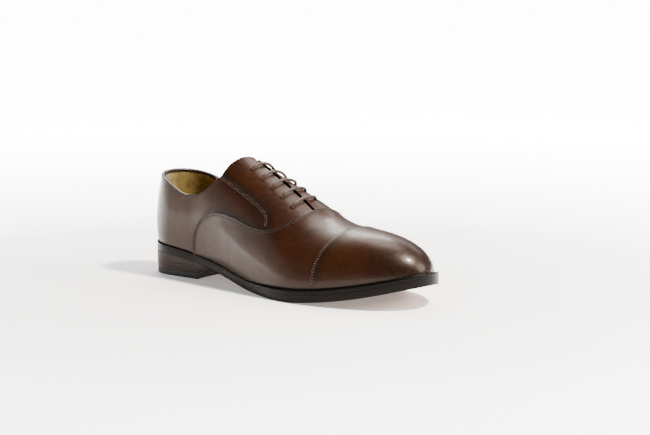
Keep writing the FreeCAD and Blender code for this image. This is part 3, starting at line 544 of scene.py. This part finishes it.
def make_piece(name, points, faces, material, tones, merge=False):
    """Mesh object from points in millimetres, with the tones of each point."""
    mesh = bpy.data.meshes.new(name)
    points = np.asarray(points, float).reshape(-1, 3)
    mesh.from_pydata(in_frame(points).tolist(), [], [tuple(map(int, face)) for face in faces])
    layer = mesh.attributes.new("tone", "FLOAT_COLOR", "POINT")
    values = np.ones((len(points), 4))
    values[:, :3] = np.asarray(tones).reshape(-1, 3)
    layer.data.foreach_set("color", values.ravel())
    mesh.materials.append(material)
    work = bmesh.new()
    work.from_mesh(mesh)
    if merge:
        bmesh.ops.remove_doubles(work, verts=work.verts, dist=2e-6)
    bmesh.ops.recalc_face_normals(work, faces=work.faces)
    work.to_mesh(mesh)
    work.free()
    mesh.polygons.foreach_set("use_smooth", [True] * len(mesh.polygons))
    mesh.set_sharp_from_angle(angle=math.radians(50))
    thing = bpy.data.objects.new(name, mesh)
    bpy.context.scene.collection.objects.link(thing)
    return thing


def quads(rows, columns, offset=0, wrap=False):
    """Faces of a grid of points, with the columns joined into a ring if wrap is set."""
    index = np.arange(rows * columns).reshape(rows, columns) + offset
    if wrap:
        index = np.concatenate([index, index[:, :1]], 1)
    corners = [index[:-1, :-1], index[1:, :-1], index[1:, 1:], index[:-1, 1:]]
    return np.stack([c.ravel() for c in corners], -1)


def shell_faces(rows, columns):
    """Faces of the closed solid between two grids of points."""
    count = rows * columns
    index = np.arange(count).reshape(rows, columns)
    border = np.concatenate([index[0], index[1:, -1], index[-1, -2::-1], index[-2:0:-1, 0]])
    after = np.roll(border, -1)
    sides = np.stack([border, after, after + count, border + count], -1)
    return np.concatenate([quads(rows, columns), quads(rows, columns, count)[:, ::-1], sides])


def graded(length, step, fine_end=True):
    """Shares from 0 to 1 along a length in mm, closely spaced at the start, and at the end if asked."""
    start = np.array([0, 0.1, 0.22, 0.4, 0.62, 0.9, 1.3, 1.8])
    end = length - (start if fine_end else np.array([0.0]))[::-1]
    count = max(2, int(round((end[0] - start[-1]) / step)))
    return np.concatenate([start, np.linspace(start[-1], end[0], count + 1)[1:-1], end]) / length


def edge_runs(points):
    """Distance of each grid point from the grid's four sides, along its own row or column."""
    down = np.linalg.norm(np.diff(points, axis=0), axis=-1)
    zero = np.zeros((1, points.shape[1]))
    top = np.concatenate([zero, np.cumsum(down, 0)])
    over = np.linalg.norm(np.diff(points, axis=1), axis=-1)
    left = np.concatenate([np.zeros((points.shape[0], 1)), np.cumsum(over, 1)], 1)
    return top, top[-1:] - top, left, left[:, -1:] - left


EDGE_ROUND = 0.55


def roll_off(distance, radius=EDGE_ROUND):
    inside = np.clip(radius - distance, 0, radius)
    return radius - np.sqrt(radius**2 - inside**2)


def burnish_at(points):
    """Hand-burnished shade: dark toe, heel and lower edge, lighter sides."""
    x, _, z = np.moveaxis(points, -1, 0)
    up = z - feather_height(np.clip(x, 0, LENGTH))
    toe = smooth_step(x, 236, 292) * 0.75
    heel = (1 - smooth_step(x, 8, 62)) * 0.5
    low = np.exp(-np.clip(up, 0, None) / 4.5) * 0.65
    throat = np.exp(-(((x - 190) / 16) ** 2)) * smooth_step(up, 25, 50) * 0.25
    return np.clip(np.maximum(np.maximum(toe, heel), low) + throat, 0, 1)


LEATHER = 1.25


def panel(name, x, angle, lift, edges, seams, folded=None):
    """Leather panel that replaces its CAD node: a grid on the upper's surface with rolled edges.

    Edges and the folded edge are any of top, bottom, left and right.
    """
    flat = section(x, angle)
    runs = dict(zip(("top", "bottom", "left", "right"), edge_runs(flat)))
    drop = np.zeros(x.shape)
    line = np.zeros(x.shape)
    for side in edges:
        drop = np.maximum(drop, roll_off(runs[side]))
        line = np.maximum(line, 1 - smooth_step(runs[side], 0.15, 0.7))
    outer = skin(x, angle, lift - drop)
    depth = LEATHER
    if folded:
        depth = LEATHER + 1.5 * np.exp(-(runs[folded] / 1.3) ** 2)
    inner = skin(x, angle, np.minimum(lift - drop, 0) - depth)
    away = seam_distance(flat, *seams)
    shade = np.maximum(burnish_at(flat), 0.4 * np.exp(-(away / 5.0) ** 2) + 0.15 * np.exp(-away / 14))
    line = np.maximum(line, 0.8 * np.exp(-(away / 0.6) ** 2))
    line = np.maximum(line, 0.45 * np.exp(-((away - 2.2) / 1.15) ** 2))
    tone = np.stack([np.clip(shade, 0, 1), np.clip(line, 0, 1), np.zeros(x.shape)], -1)
    back_tone = np.broadcast_to([1, 1, 0], tone.shape)
    thing = make_piece(name, np.stack([outer, inner]), shell_faces(*x.shape), UPPER,
                       np.stack([tone, back_tone]), merge=True)
    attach(thing, "shoe")
    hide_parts(name)
    return thing


# ---------------------------------------------------------------- upper panels


def make_toe_cap():
    tip = LENGTH - 0.4
    across = np.linspace(0, 1, 181)
    start_line = by_length(cap_line, section(*cap_line.T), np.linspace(0, 1, 91))
    seam = np.concatenate([start_line[::-1], mirrored(start_line)[1:]])
    share = graded(95, 0.9, False)
    turn = np.sin(share * math.pi / 2)[:, None]
    x = seam[None, :, 0] + (tip - seam[None, :, 0]) * turn
    low = low_angle(x)
    at_seam = (seam[:, 1] - low[0]) / (math.pi - 2 * low[0])
    evened = smooth_step(share, 0, 0.5)[:, None]
    spread = at_seam[None] * (1 - evened) + across[None] * evened
    angle = low + (math.pi - 2 * low) * np.clip(spread, 0, 1)
    run = edge_runs(section(x, angle))[0]
    lift = 0.25 + 0.75 * np.exp(-run / 9)
    panel("toe_cap", x, angle, lift, ("top",), ("cap",))


CAP_LAP = 5.5


def make_vamp():
    corner = np.abs(vamp_line[:, 0] - 157).argmin()
    upper_a, upper_b = vamp_line[:corner + 1], vamp_line[corner:]
    lap = cap_line.copy()
    lap[:, 0] += CAP_LAP
    feather_x = np.linspace(lap[-1, 0], 63.2, 200)
    edge = np.stack([feather_x, low_angle(feather_x)], -1)
    share_a = np.linspace(0, 1, 76)
    share_b = np.linspace(0, 1, 150)[1:]

    def both(a, b):
        return np.concatenate([by_length(a, section(*a.T), share_a), by_length(b, section(*b.T), share_b)])

    top, bottom = both(upper_a, upper_b), both(lap, edge)
    top = np.concatenate([top[::-1], mirrored(top)[1:]])
    bottom = np.concatenate([bottom[::-1], mirrored(bottom)[1:]])
    down = graded(46, 0.75, False)[:, None, None]
    grid = top[None] * (1 - down) + bottom[None] * down
    run = edge_runs(section(grid[..., 0], grid[..., 1]))[0]
    lift = 0.1 + 0.95 * np.exp(-run / 7)
    panel("vamp", grid[..., 0], grid[..., 1], lift, ("top",), ("vamp", "cap"))


def make_quarter(side, name):
    round_back = HEEL_ROUND * (1 - np.cos(np.linspace(0, math.pi / 2, 60)))
    x = np.concatenate([round_back, np.linspace(34.8, 158, 160)])
    x[0] = 0.0006
    seam_x, seam_angle = facing_line[:, 0], facing_line[:, 1]
    up_to = seam_x.argmax()
    at_seam = np.interp(x, seam_x[:up_to], seam_angle[:up_to])
    top = np.where(x < 91, angle_of_height(x, topline_z(x) - 0.3), at_seam + 0.06)
    vamp_x, vamp_angle = vamp_line[::-1, 0], vamp_line[::-1, 1]
    order = np.argsort(vamp_x)
    bottom = np.interp(x - 4.5, vamp_x[order], vamp_angle[order]) - 0.09
    bottom = np.where(x < 67.5, low_angle(x), np.maximum(low_angle(x), bottom))
    bottom = np.minimum(bottom, top - 0.08)
    share = graded(55, 0.8, False)[:, None]
    angle = on_side(top[None] * (1 - share) + bottom[None] * share, side)
    grid_x = np.broadcast_to(x[None], angle.shape).copy()
    back_seam = 0.45 * np.exp(-(section(grid_x, angle)[..., 1] / 0.7) ** 2) * (grid_x < 5)
    panel("quarter_" + name, grid_x, angle, -back_seam, (), ("vamp", "facing"))


def slit_half(x):
    return 1.2 + 0.018 * (195 - x)


FACING_TOP, FACING_END = 102.3, 184.0


def make_facing(side, name):
    share = graded(88, 0.7, False)
    start = facing_line[0]
    seam_end = facing_line[:, 0].argmax()
    top_part = facing_line[:seam_end]
    lap_x, lap_z = np.array([(150.0, 60.0), (158, 54), (166, 52.5), (175, 56), (183, 58)]).T
    lower_x = start[0] + (lap_x[-1] - start[0]) * share
    under_vamp = np.interp(lower_x, lap_x, angle_of_height(lap_x, lap_z))
    lower = np.where(lower_x < 154, np.interp(lower_x, top_part[:, 0], top_part[:, 1]), under_vamp)
    blend = smooth_step(lower_x, 150, 160)
    lower = lower * (1 - blend) + under_vamp * blend
    upper_x = FACING_TOP + (FACING_END - FACING_TOP) * share
    aside = slit_line(upper_x) + side * (slit_half(upper_x) - 0.3)
    upper = angle_at(upper_x, aside)
    if side > 0:
        lower = math.pi - lower
    down = graded(30, 0.7)[:, None]
    x = upper_x[None] * (1 - down) + lower_x[None] * down
    angle = upper[None] * (1 - down) + lower[None] * down
    runs = edge_runs(section(x, angle))
    lift = 0.15 + 0.5 * np.exp(-runs[1] / 5) + 0.15 * np.exp(-runs[0] / 3)
    thing = panel("facing_" + name, x, angle, lift, ("top", "bottom", "left"), ("facing",), folded="top")
    punch(thing, side)


EYELETS, FIRST_EYELET, EYELET_STEP, EYELET_ASIDE = 5, 168.0, 13.6, 14.5


def instep_frame(x, aside):
    """Point on the instep beside the slit, and the way out of the shoe there."""
    angle = float(angle_at(x, slit_line(x) + aside))
    return section(x, angle), outward(np.float64(x), np.float64(angle))


def eyelet_x(index):
    return FIRST_EYELET - index * EYELET_STEP


def eyelet_frame(index, side, extra=0.0):
    return instep_frame(eyelet_x(index), side * (EYELET_ASIDE + extra))


def punch(thing, side):
    """Cuts the five eyelet holes through a facing."""
    work = bmesh.new()
    for index in range(EYELETS):
        centre, normal = eyelet_frame(index, side)
        turn = Vector(normal).to_track_quat("Z", "Y").to_matrix().to_4x4()
        turn.translation = Vector(in_frame(centre))
        bmesh.ops.create_cone(work, cap_ends=True, segments=32, radius1=0.00175, radius2=0.0019,
                              depth=0.012, matrix=turn)
    mesh = bpy.data.meshes.new("punch")
    work.to_mesh(mesh)
    work.free()
    tool = bpy.data.objects.new("punch", mesh)
    bpy.context.scene.collection.objects.link(tool)
    cut = thing.modifiers.new("holes", "BOOLEAN")
    cut.object, cut.operation, cut.solver = tool, "DIFFERENCE", "EXACT"
    bpy.context.view_layer.update()
    holed = thing.evaluated_get(bpy.context.evaluated_depsgraph_get())
    result = bpy.data.meshes.new_from_object(holed)
    thing.modifiers.clear()
    thing.data = result
    bpy.data.objects.remove(tool)


def tube_faces(rows, columns):
    """Faces of a solid made of rings of points, closed at both ends."""
    ends = [list(range(columns)), list(range((rows - 1) * columns, rows * columns))[::-1]]
    return quads(rows, columns, wrap=True).tolist() + ends


def sweep(name, centre, side_a, side_b, profile, material, tones):
    """Solid along a line: each profile point (a, b) goes along side_a and side_b."""
    profile = np.asarray(profile, float)
    rings = centre[:, None] + side_a[:, None] * profile[None, :, :1] + side_b[:, None] * profile[None, :, 1:]
    tones = np.tile(tones[None], (len(centre), 1, 1))
    return make_piece(name, rings, tube_faces(*rings.shape[:2]), material, tones)


def topline_path():
    """Lateral front corner, round the heel, and to the medial front corner."""
    top_x, rise_steps = 102.6, 14
    start = facing_line[0]
    rise = np.linspace(0, 1, rise_steps)[:, None]

    def front(side):
        aside = slit_line(top_x) + side * (slit_half(top_x) + 0.4)
        return np.array([(top_x, float(angle_at(top_x, aside)))])

    corner = front(-1) * (1 - rise) + start[None] * rise
    round_back = HEEL_ROUND * (1 - np.cos(np.linspace(math.pi / 2, 0, 40)))
    x = np.concatenate([np.linspace(90, HEEL_ROUND, 70), round_back[1:]])
    lateral = np.concatenate([corner, np.stack([x, angle_of_height(x, topline_z(x))], -1)])
    medial = mirrored(lateral)
    medial[:rise_steps] = front(1) * (1 - rise) + mirrored(start[None]) * rise
    return np.concatenate([lateral, medial[-2::-1]])


def make_topline():
    path = topline_path()
    points = section(*path.T)
    normal = outward(*path.T)
    along = unit(np.gradient(points, axis=0))
    up = unit(np.cross(along, normal))
    up *= np.sign(up[:, 2:3] + 1e-9)
    turn = np.linspace(0, math.pi, 15)
    cap = np.stack([-1.75 + 1.95 * np.cos(turn), -0.25 + 1.0 * np.sin(turn)], -1)
    profile = np.concatenate([[(0.0, -0.9), (0.16, -0.6)], cap, [(-3.72, -1.6), (-3.5, -1.9)]])
    tones = np.zeros((len(profile), 3))
    tones[[0, 1, -1, -2], 1] = 0.6
    thing = sweep("topline_fold", points, normal, up, profile, BINDING, tones)
    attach(thing, "shoe")
    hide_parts("topline_binding")


# ---------------------------------------------------------------- stitching


def stitch_row(line, lift, store, pale, pitch=2.3, length=1.35, radius=0.32, skip=(0.0, 0.0)):
    """Adds a row of lock stitches along an (x, angle) line to the store, each with its own paleness, a
    painted highlight for the light the row catches.
    """
    points = skin(line[:, 0], line[:, 1], lift)
    reach = np.linalg.norm(np.diff(points, axis=0), axis=1).sum()
    count = int((reach - skip[0] - skip[1]) / pitch)
    share = (skip[0] + (np.arange(count) + 0.5) * pitch) / reach
    at = by_length(line, points, share)
    ahead = by_length(line, points, share + 0.4 / reach)
    centre, normal = skin(at[:, 0], at[:, 1], lift + 0.06), outward(*at.T)
    along = unit(skin(ahead[:, 0], ahead[:, 1], lift + 0.06) - centre)
    across = unit(np.cross(normal, along))
    slant, sag, flatness = 0.10, 0.12, 0.8
    along = unit(along + across * slant)
    across = unit(np.cross(normal, along))
    bend = np.linspace(-1, 1, 7)
    turns = np.linspace(0, 2 * math.pi, 9)[:-1]
    for c, n, a, w in zip(centre, normal, along, across):
        rings = []
        size = length * (1 + rng.normal(0, 0.03)) / 2
        for b in bend:
            thick = radius * math.sqrt(max(0.05, 1 - b**2))
            middle = c + a * size * b - n * (sag * b * b)
            ring = np.cos(turns)[:, None] * w + flatness * np.sin(turns)[:, None] * n
            rings.append(middle + thick * ring)
        store.append((np.array(rings), pale * rng.uniform(0.6, 1.0)))


def make_stitching():
    store = []
    facing_row = facing_line[3:facing_line[:, 0].argmax() - 10]
    # The last number of each row is its paleness, a painted highlight: the facing and cap seam rows are
    # painted paler, as if they catch more light, than the vamp, slit and topline rows.
    for line_of in (lambda line: line, mirrored):
        for distance in (1.5, 3.2):
            stitch_row(line_of(beside(vamp_line[4:], distance)), 1.1, store, 0.22, skip=(0.5, 3))
        for distance in (1.4, 3.0):
            stitch_row(line_of(beside(facing_row, -distance)), 0.55, store, 0.5, skip=(0.5, 1))
        for distance in (1.4, 3.0):
            stitch_row(line_of(beside(cap_line[2:], -distance)), 0.95, store, 0.7, skip=(0.3, 3))
    from_slit = 2.1
    for side in (-1, 1):
        x = np.linspace(104, 180, 120)
        angle = angle_at(x, slit_line(x) + side * (slit_half(x) + from_slit))
        stitch_row(np.stack([x, angle], -1), 0.22, store, 0.15, pitch=1.9, length=1.35, radius=0.22)
    low = beside(topline_path(), 2.9)[10:-10]
    for half in (low[:len(low) // 2], low[len(low) // 2:]):
        stitch_row(half[half[:, 0] > 0.5], 0.03, store, 0.15, radius=0.22)
    rings = np.array([ring for ring, _ in store])
    count, rows, columns = rings.shape[:3]
    faces = []
    for start in range(0, count * rows * columns, rows * columns):
        faces += [[start + corner for corner in face] for face in tube_faces(rows, columns)]
    tones = np.zeros((count, rows, columns, 3))
    tones[..., 0] = np.array([pale for _, pale in store])[:, None, None]
    # Painted shade: both ends of each stitch, where it sinks into its hole, are darkened.
    tones[:, [0, -1], :, 1] = 0.8
    thing = make_piece("stitching", rings, faces, SEAM_THREAD, tones)
    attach(thing, "shoe")


# ---------------------------------------------------------------- tongue

HINGE_X, TONGUE_TOP, TONGUE_END = 176.0, 105.2, 188.0


def tongue_grid(inset, depth_out, depth_in):
    """Outer and inner points of a layer of the tongue, and its tones."""
    x = TONGUE_TOP + inset + (TONGUE_END - TONGUE_TOP - inset) * graded(80, 0.9)
    half = 12.6 + (x - 106) / 70 * 1.5 - inset
    corner = np.clip(1 - (x - TONGUE_TOP - inset) / 7, 0, 1)
    half = half - 5.5 * (1 - np.sqrt(1 - corner**2))
    across = graded(26, 0.9) * 2 - 1
    y = slit_line(x)[:, None] + half[:, None] * across[None]
    grid_x = np.broadcast_to(x[:, None], y.shape)
    angle = angle_at(grid_x, y)
    flat = section(grid_x, angle)
    drop = np.maximum.reduce([roll_off(run, 0.5) for run in edge_runs(flat)])
    outer = skin(grid_x, angle, -depth_out - drop)
    inner = skin(grid_x, angle, -depth_in + drop * 0.6)
    tone = np.zeros(grid_x.shape + (3,))
    tone[..., 0] = 0.25
    tone[..., 1] = 1 - smooth_step(np.minimum.reduce(edge_runs(flat)), 0.2, 1.1)
    return outer, inner, tone


def make_tongue():
    hinge_z = float(section(HINGE_X, math.pi / 2)[2]) - 7.5
    for name, inset, outer_depth, inner_depth, material, nodes, slot in (
            ("tongue_leather", 0.0, 6.9, 8.05, TONGUE, ("tongue", "tongue_tab"), "upper_leather"),
            ("tongue_back", 0.8, 8.12, 9.1, TAN, ("tongue_lining",), "lining_leather")):
        outer, inner, tone = tongue_grid(inset, outer_depth, inner_depth)
        thing = make_piece(name, np.stack([outer, inner]), shell_faces(*outer.shape[:2]), material,
                           np.stack([tone, tone]))
        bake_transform(thing)
        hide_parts(*nodes)


# ---------------------------------------------------------------- lace


def under(x, degrees, depth, side):
    return skin(np.float64(x), np.float64(on_side(math.radians(degrees), side)), -depth)


LACE_LEAN = math.radians(17)


def lace_route():
    """Corners of the lace's path: straight bars outside, runs and tucked ends inside."""
    lateral = [(131, 58, 5.4), (138, 44, 5.4), (150, 33, 5.9), (166, 26, 6.5), (184, 22, 7.2), (203, 20, 8)]
    medial = [(118, 46, 5.4), (128, 36, 5.4), (142, 28, 5.9), (158, 23, 6.5), (177, 20, 7.2), (197, 20, 8)]
    route = [under(x, a, depth, -1) for x, a, depth in lateral[::-1]]

    def through(index, side):
        centre, normal = eyelet_frame(index, side)
        to_ridge = eyelet_frame(index, side, -1.0)[0] - centre
        to_ridge = unit(to_ridge - normal * to_ridge.dot(normal))
        lean = normal * math.cos(LACE_LEAN) + to_ridge * math.sin(LACE_LEAN)
        middle = centre - normal * 1.75
        return middle + lean * 4.5, middle - lean * 3.4

    def over(index, side):
        out_from, in_from = through(index, side)
        out_to, in_to = through(index, -side)
        x = eyelet_x(index)
        route.extend([in_from, out_from])
        for aside, rise in ((side * 5.0, 2.7), (-side * 4.5, 3.0)):
            point, normal = instep_frame(x, aside)
            route.append(point + normal * rise)
        route.extend([out_to, in_to])

    def inside(index, side, shift):
        centre, normal = eyelet_frame(index, side, shift)
        route.append(centre - normal * 5.15)

    over(3, -1)
    inside(2, 1, 3.1)
    over(1, 1)
    over(0, -1)
    inside(1, 1, -3.1)
    over(2, 1)
    inside(3, -1, -3.1)
    over(4, -1)
    route.extend([under(x, a, depth, 1) for x, a, depth in medial])
    return np.array(route)


def smooth_route(corners, step):
    """Points of the quadratic B-spline that has these corners, a step apart."""
    middles = (corners[:-1] + corners[1:]) / 2
    middles = np.concatenate([corners[:1], middles[1:-1], corners[-1:]])
    t = np.linspace(0, 1, 40)[:-1, None]
    parts = [(1 - t) ** 2 * a + 2 * t * (1 - t) * b + t**2 * c
             for a, b, c in zip(middles, corners[1:-1], middles[1:])]
    line = np.concatenate(parts + [corners[-1:]])
    reach = np.linalg.norm(np.diff(line, axis=0), axis=1).sum()
    return by_length(line, line, np.linspace(0, 1, int(reach / step)))


def carried_frames(points):
    """Two unit vectors across a line at each point, carried along it without twisting."""
    along = unit(np.gradient(points, axis=0))
    first = np.cross(along[0], (0.0, 0.0, 1.0))
    firsts = []
    for t in along:
        first = unit(first - t * first.dot(t))
        firsts.append(first)
    firsts = np.array(firsts)
    return firsts, np.cross(along, firsts)


def make_lace():
    step, around = 0.24, 32
    line = smooth_route(lace_route(), step)
    a, b = carried_frames(line)
    turn = np.linspace(0, 2 * math.pi, around + 1)[:-1]
    along = np.arange(len(line))[:, None] * step
    strands, pitch = 6, 2.3
    p = turn[None] / (2 * math.pi) * strands + along / pitch
    q = turn[None] / (2 * math.pi) * strands - along / pitch
    over = (np.floor(p) + np.floor(q)) % 2 < 1
    height = np.where(over, np.sin(math.pi * (p % 1)), np.sin(math.pi * (q % 1))) ** 0.7
    radius = 1.13 + 0.15 * height
    rings = line[:, None] + radius[..., None] * (np.cos(turn)[None, :, None] * a[:, None]
                                                 + np.sin(turn)[None, :, None] * b[:, None])
    # Painted light: the raised strands of the braid are painted lighter as a painted highlight, and the
    # crevices between them darker as painted shade.
    tones = np.zeros((len(line), around, 3))
    tones[..., 0] = height * 0.9
    tones[..., 1] = 0.55 * (1 - smooth_step(height, 0.0, 0.45))
    thing = make_piece("lace_braid", rings, tube_faces(len(line), around), LACE, tones)
    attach(thing, "shoe")
    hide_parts("lace")


# ---------------------------------------------------------------- sole and heel


def feather_outline():
    """Plan points of the feather line, from the heel along the lateral side, round the toe and back."""
    steps = 150
    low, high = LENGTH - 10, LENGTH
    for _ in range(40):
        middle = (low + high) / 2
        low, high = (middle, high) if section_height(middle) > BASE else (low, middle)
    heel_arc, toe_arc = HEEL_ROUND * math.pi / 2, TOE_ROUND * math.pi / 2
    run = low - TOE_ROUND - HEEL_ROUND
    t = np.linspace(0, 1, steps + 1) * (heel_arc + run + toe_arc)
    in_heel = HEEL_ROUND * (1 - np.cos(np.clip(t, 0, heel_arc) / HEEL_ROUND))
    in_toe = low - TOE_ROUND + TOE_ROUND * np.sin(np.clip((t - heel_arc - run) / TOE_ROUND, 0, math.pi / 2))
    x = np.where(t < heel_arc, in_heel, HEEL_ROUND + t - heel_arc)
    x = np.where(t > heel_arc + run, in_toe, x)
    angle = np.arcsin(np.clip(BASE / np.maximum(section_height(x), BASE), 0, 1))
    lateral, medial = section(x, angle)[:, :2], section(x, math.pi - angle)[:, :2]
    loop = np.concatenate([lateral[:-1], medial[:0:-1]])
    for _ in range(3):
        smooth = (np.roll(loop, 1, 0) + loop * 2 + np.roll(loop, -1, 0)) / 4
        ends = (loop[:, 0] < 6) | (loop[:, 0] > 284)
        loop = np.where(ends[:, None], smooth, loop)
    return loop


def moved_out(loop, distance):
    along = unit(np.roll(loop, -1, 0) - np.roll(loop, 1, 0))
    return loop + np.stack([along[:, 1], -along[:, 0]], -1) * np.asarray(distance)[:, None]


def slab(name, loop, profile, bottom, top, centre_line, material, bare_under=0.0):
    """Solid with a worked edge. The profile has (inset, share of the thickness) from the underside up."""
    rings, tones = [], []
    x0, x1 = centre_line
    axis = np.stack([np.clip(loop[:, 0], x0, x1), np.zeros(len(loop))], -1)
    shares = [0.97, 0.8, 0.6, 0.4, 0.22, 0.1, 0.05]

    def add(plan, z, tone):
        rings.append(np.concatenate([plan, z[:, None]], 1))
        tones.append(np.tile([tone, 0.0, 0.0], (len(plan), 1)))

    foot = moved_out(loop, -np.full(len(loop), profile[0][0]))
    for share in shares:
        plan = foot * (1 - share) + axis * share
        add(plan, bottom(plan[:, 0]), bare_under)
    for inset, up in profile:
        plan = moved_out(loop, -np.full(len(loop), inset))
        low, high = bottom(plan[:, 0]), top(plan[:, 0])
        add(plan, low + (high - low) * up, 0.0)
    head = moved_out(loop, -np.full(len(loop), profile[-1][0]))
    for share in shares[::-1]:
        plan = head * (1 - share) + axis * share
        add(plan, top(plan[:, 0]), 0.0)
    thing = make_piece(name, np.array(rings), tube_faces(len(rings), len(loop)), material, np.array(tones))
    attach(thing, "shoe")
    return thing


def welt_under(x):
    return feather_height(x) - welt_height(x)


def make_sole():
    loop = feather_outline()
    out = edge_margin(loop[:, 0])
    rim = moved_out(loop, out)
    profile = [(0.5, 0.0), (0.18, 0.03), (0.04, 0.1), (0.0, 0.3), (-0.05, 0.55), (-0.02, 0.9), (0.0, 0.98),
               (0.04, 1.0)]
    sole = slab("outsole_leather", rim, profile, lambda x: np.maximum(ground_height(x), 0),
                lambda x: welt_under(x) - 0.05, (40, 250), EDGE, bare_under=1.0)
    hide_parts("outsole")
    ring_profile = [(8.6, 0.0), (0.04, 0.0), (0.0, 0.03), (-0.02, 0.3), (0.02, 0.62), (0.15, 0.84),
                    (0.42, 0.96), (0.8, 1.0)]
    rows = []
    for inset, up in ring_profile:
        plan = moved_out(rim, -np.full(len(rim), inset))
        low, high = welt_under(plan[:, 0]), feather_height(plan[:, 0]) - 0.05
        rows.append(np.concatenate([plan, (low + (high - low) * up)[:, None]], 1))
    for inset, sunk in ((0.9, 0.25), (0.2, 0.75), (-0.8, 0.9), (-4.0, 0.6)):
        plan = moved_out(loop, np.maximum(np.full(len(rim), inset), -8 + out))
        rows.append(np.concatenate([plan, (feather_height(plan[:, 0]) - sunk)[:, None]], 1))
    rings = np.array(rows)
    count = len(rim)
    faces = quads(len(rows), count, wrap=True).tolist()
    last = (len(rows) - 1) * count
    faces += [[last + i, last + (i + 1) % count, (i + 1) % count, i] for i in range(count)]
    welt = make_piece("welt_edge", rings, faces, EDGE, np.zeros(rings.shape))
    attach(welt, "shoe")
    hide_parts("welt", "heel_rand")


HEEL_HEIGHT, HEEL_TAPER = 19.6, math.radians(3)


def heel_outline(z):
    """Plan of the heel at a height: a round back, straight sides and a hollow breast."""
    shrink = (HEEL_HEIGHT - z) * math.tan(HEEL_TAPER)
    radius, half, breast = 33.2 - shrink, 31.5 - shrink, 68 - shrink
    back_centre, hollow = 31.6, 85.0
    back_arc = np.linspace(math.pi / 2, 3 * math.pi / 2, 70)
    arc = np.stack([back_centre + radius * np.cos(back_arc), radius * np.sin(back_arc)], -1)
    open_angle = math.asin(half / hollow)
    middle = breast + math.sqrt(hollow**2 - half**2)
    swing = np.linspace(math.pi + open_angle, math.pi - open_angle, 30)
    front = np.stack([middle + hollow * np.cos(swing), hollow * np.sin(swing)], -1)
    side = np.linspace(0, 1, 16)[1:-1, None]
    return np.concatenate([arc, arc[-1] * (1 - side) + front[0] * side, front,
                           front[-1] * (1 - side) + arc[0] * side])


def make_heel():
    levels = [("heel_rubber_piece", 0.0, 5.15, RUBBER, "heel_top_piece", "heel_rubber"),
              ("heel_layer_1", 5.2, 8.36, HEEL, "heel_lift_1", "heel_leather"),
              ("heel_layer_2", 8.4, 11.56, HEEL, "heel_lift_2", "heel_leather"),
              ("heel_layer_3", 11.6, None, HEEL, "heel_lift_3", "heel_leather")]
    profile = [(0.16, 0.0), (0.06, 0.02), (0.0, 0.08), (0.0, 0.3), (-0.03, 0.6), (-0.04, 0.94),
               (-0.01, 0.985), (0.05, 1.0)]

    def level(height):
        return lambda x: np.full(np.shape(x), height)

    for name, low, high, material, node, slot in levels:
        top = level(high) if high else lambda x: ground_height(x) - 0.05
        thing = slab(name, heel_outline(low), profile, level(low), top, (25, 50), material)
        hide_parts(node)


# ---------------------------------------------------------------- put together

make_toe_cap()
make_vamp()
for side, name in ((-1, "lateral"), (1, "medial")):
    make_quarter(side, name)
    make_facing(side, name)
make_topline()
make_stitching()
make_tongue()
make_lace()
make_sole()
make_heel()

NODE_LOOKS = {"cork_filler": CORK, "shank": STEEL, "insole": BOARD, "sock_liner": SOCK, "heel_nails": BRASS,
              "toe_puff": BOARD, "heel_counter": BOARD, "vamp_lining": CANVAS, "quarter_lining_lateral": TAN,
              "quarter_lining_medial": TAN, "heel_grip": SUEDE, "blind_eyelets": BRASS,
              "lace_aglets": ACETATE}
for node, material in NODE_LOOKS.items():
    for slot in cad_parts[node].material_slots:
        slot.material = material

bpy.ops.mesh.primitive_grid_add(x_subdivisions=8, y_subdivisions=8, size=40)
floor = bpy.context.object
floor.name = "floor"
floor.data.materials.append(pale_floor())
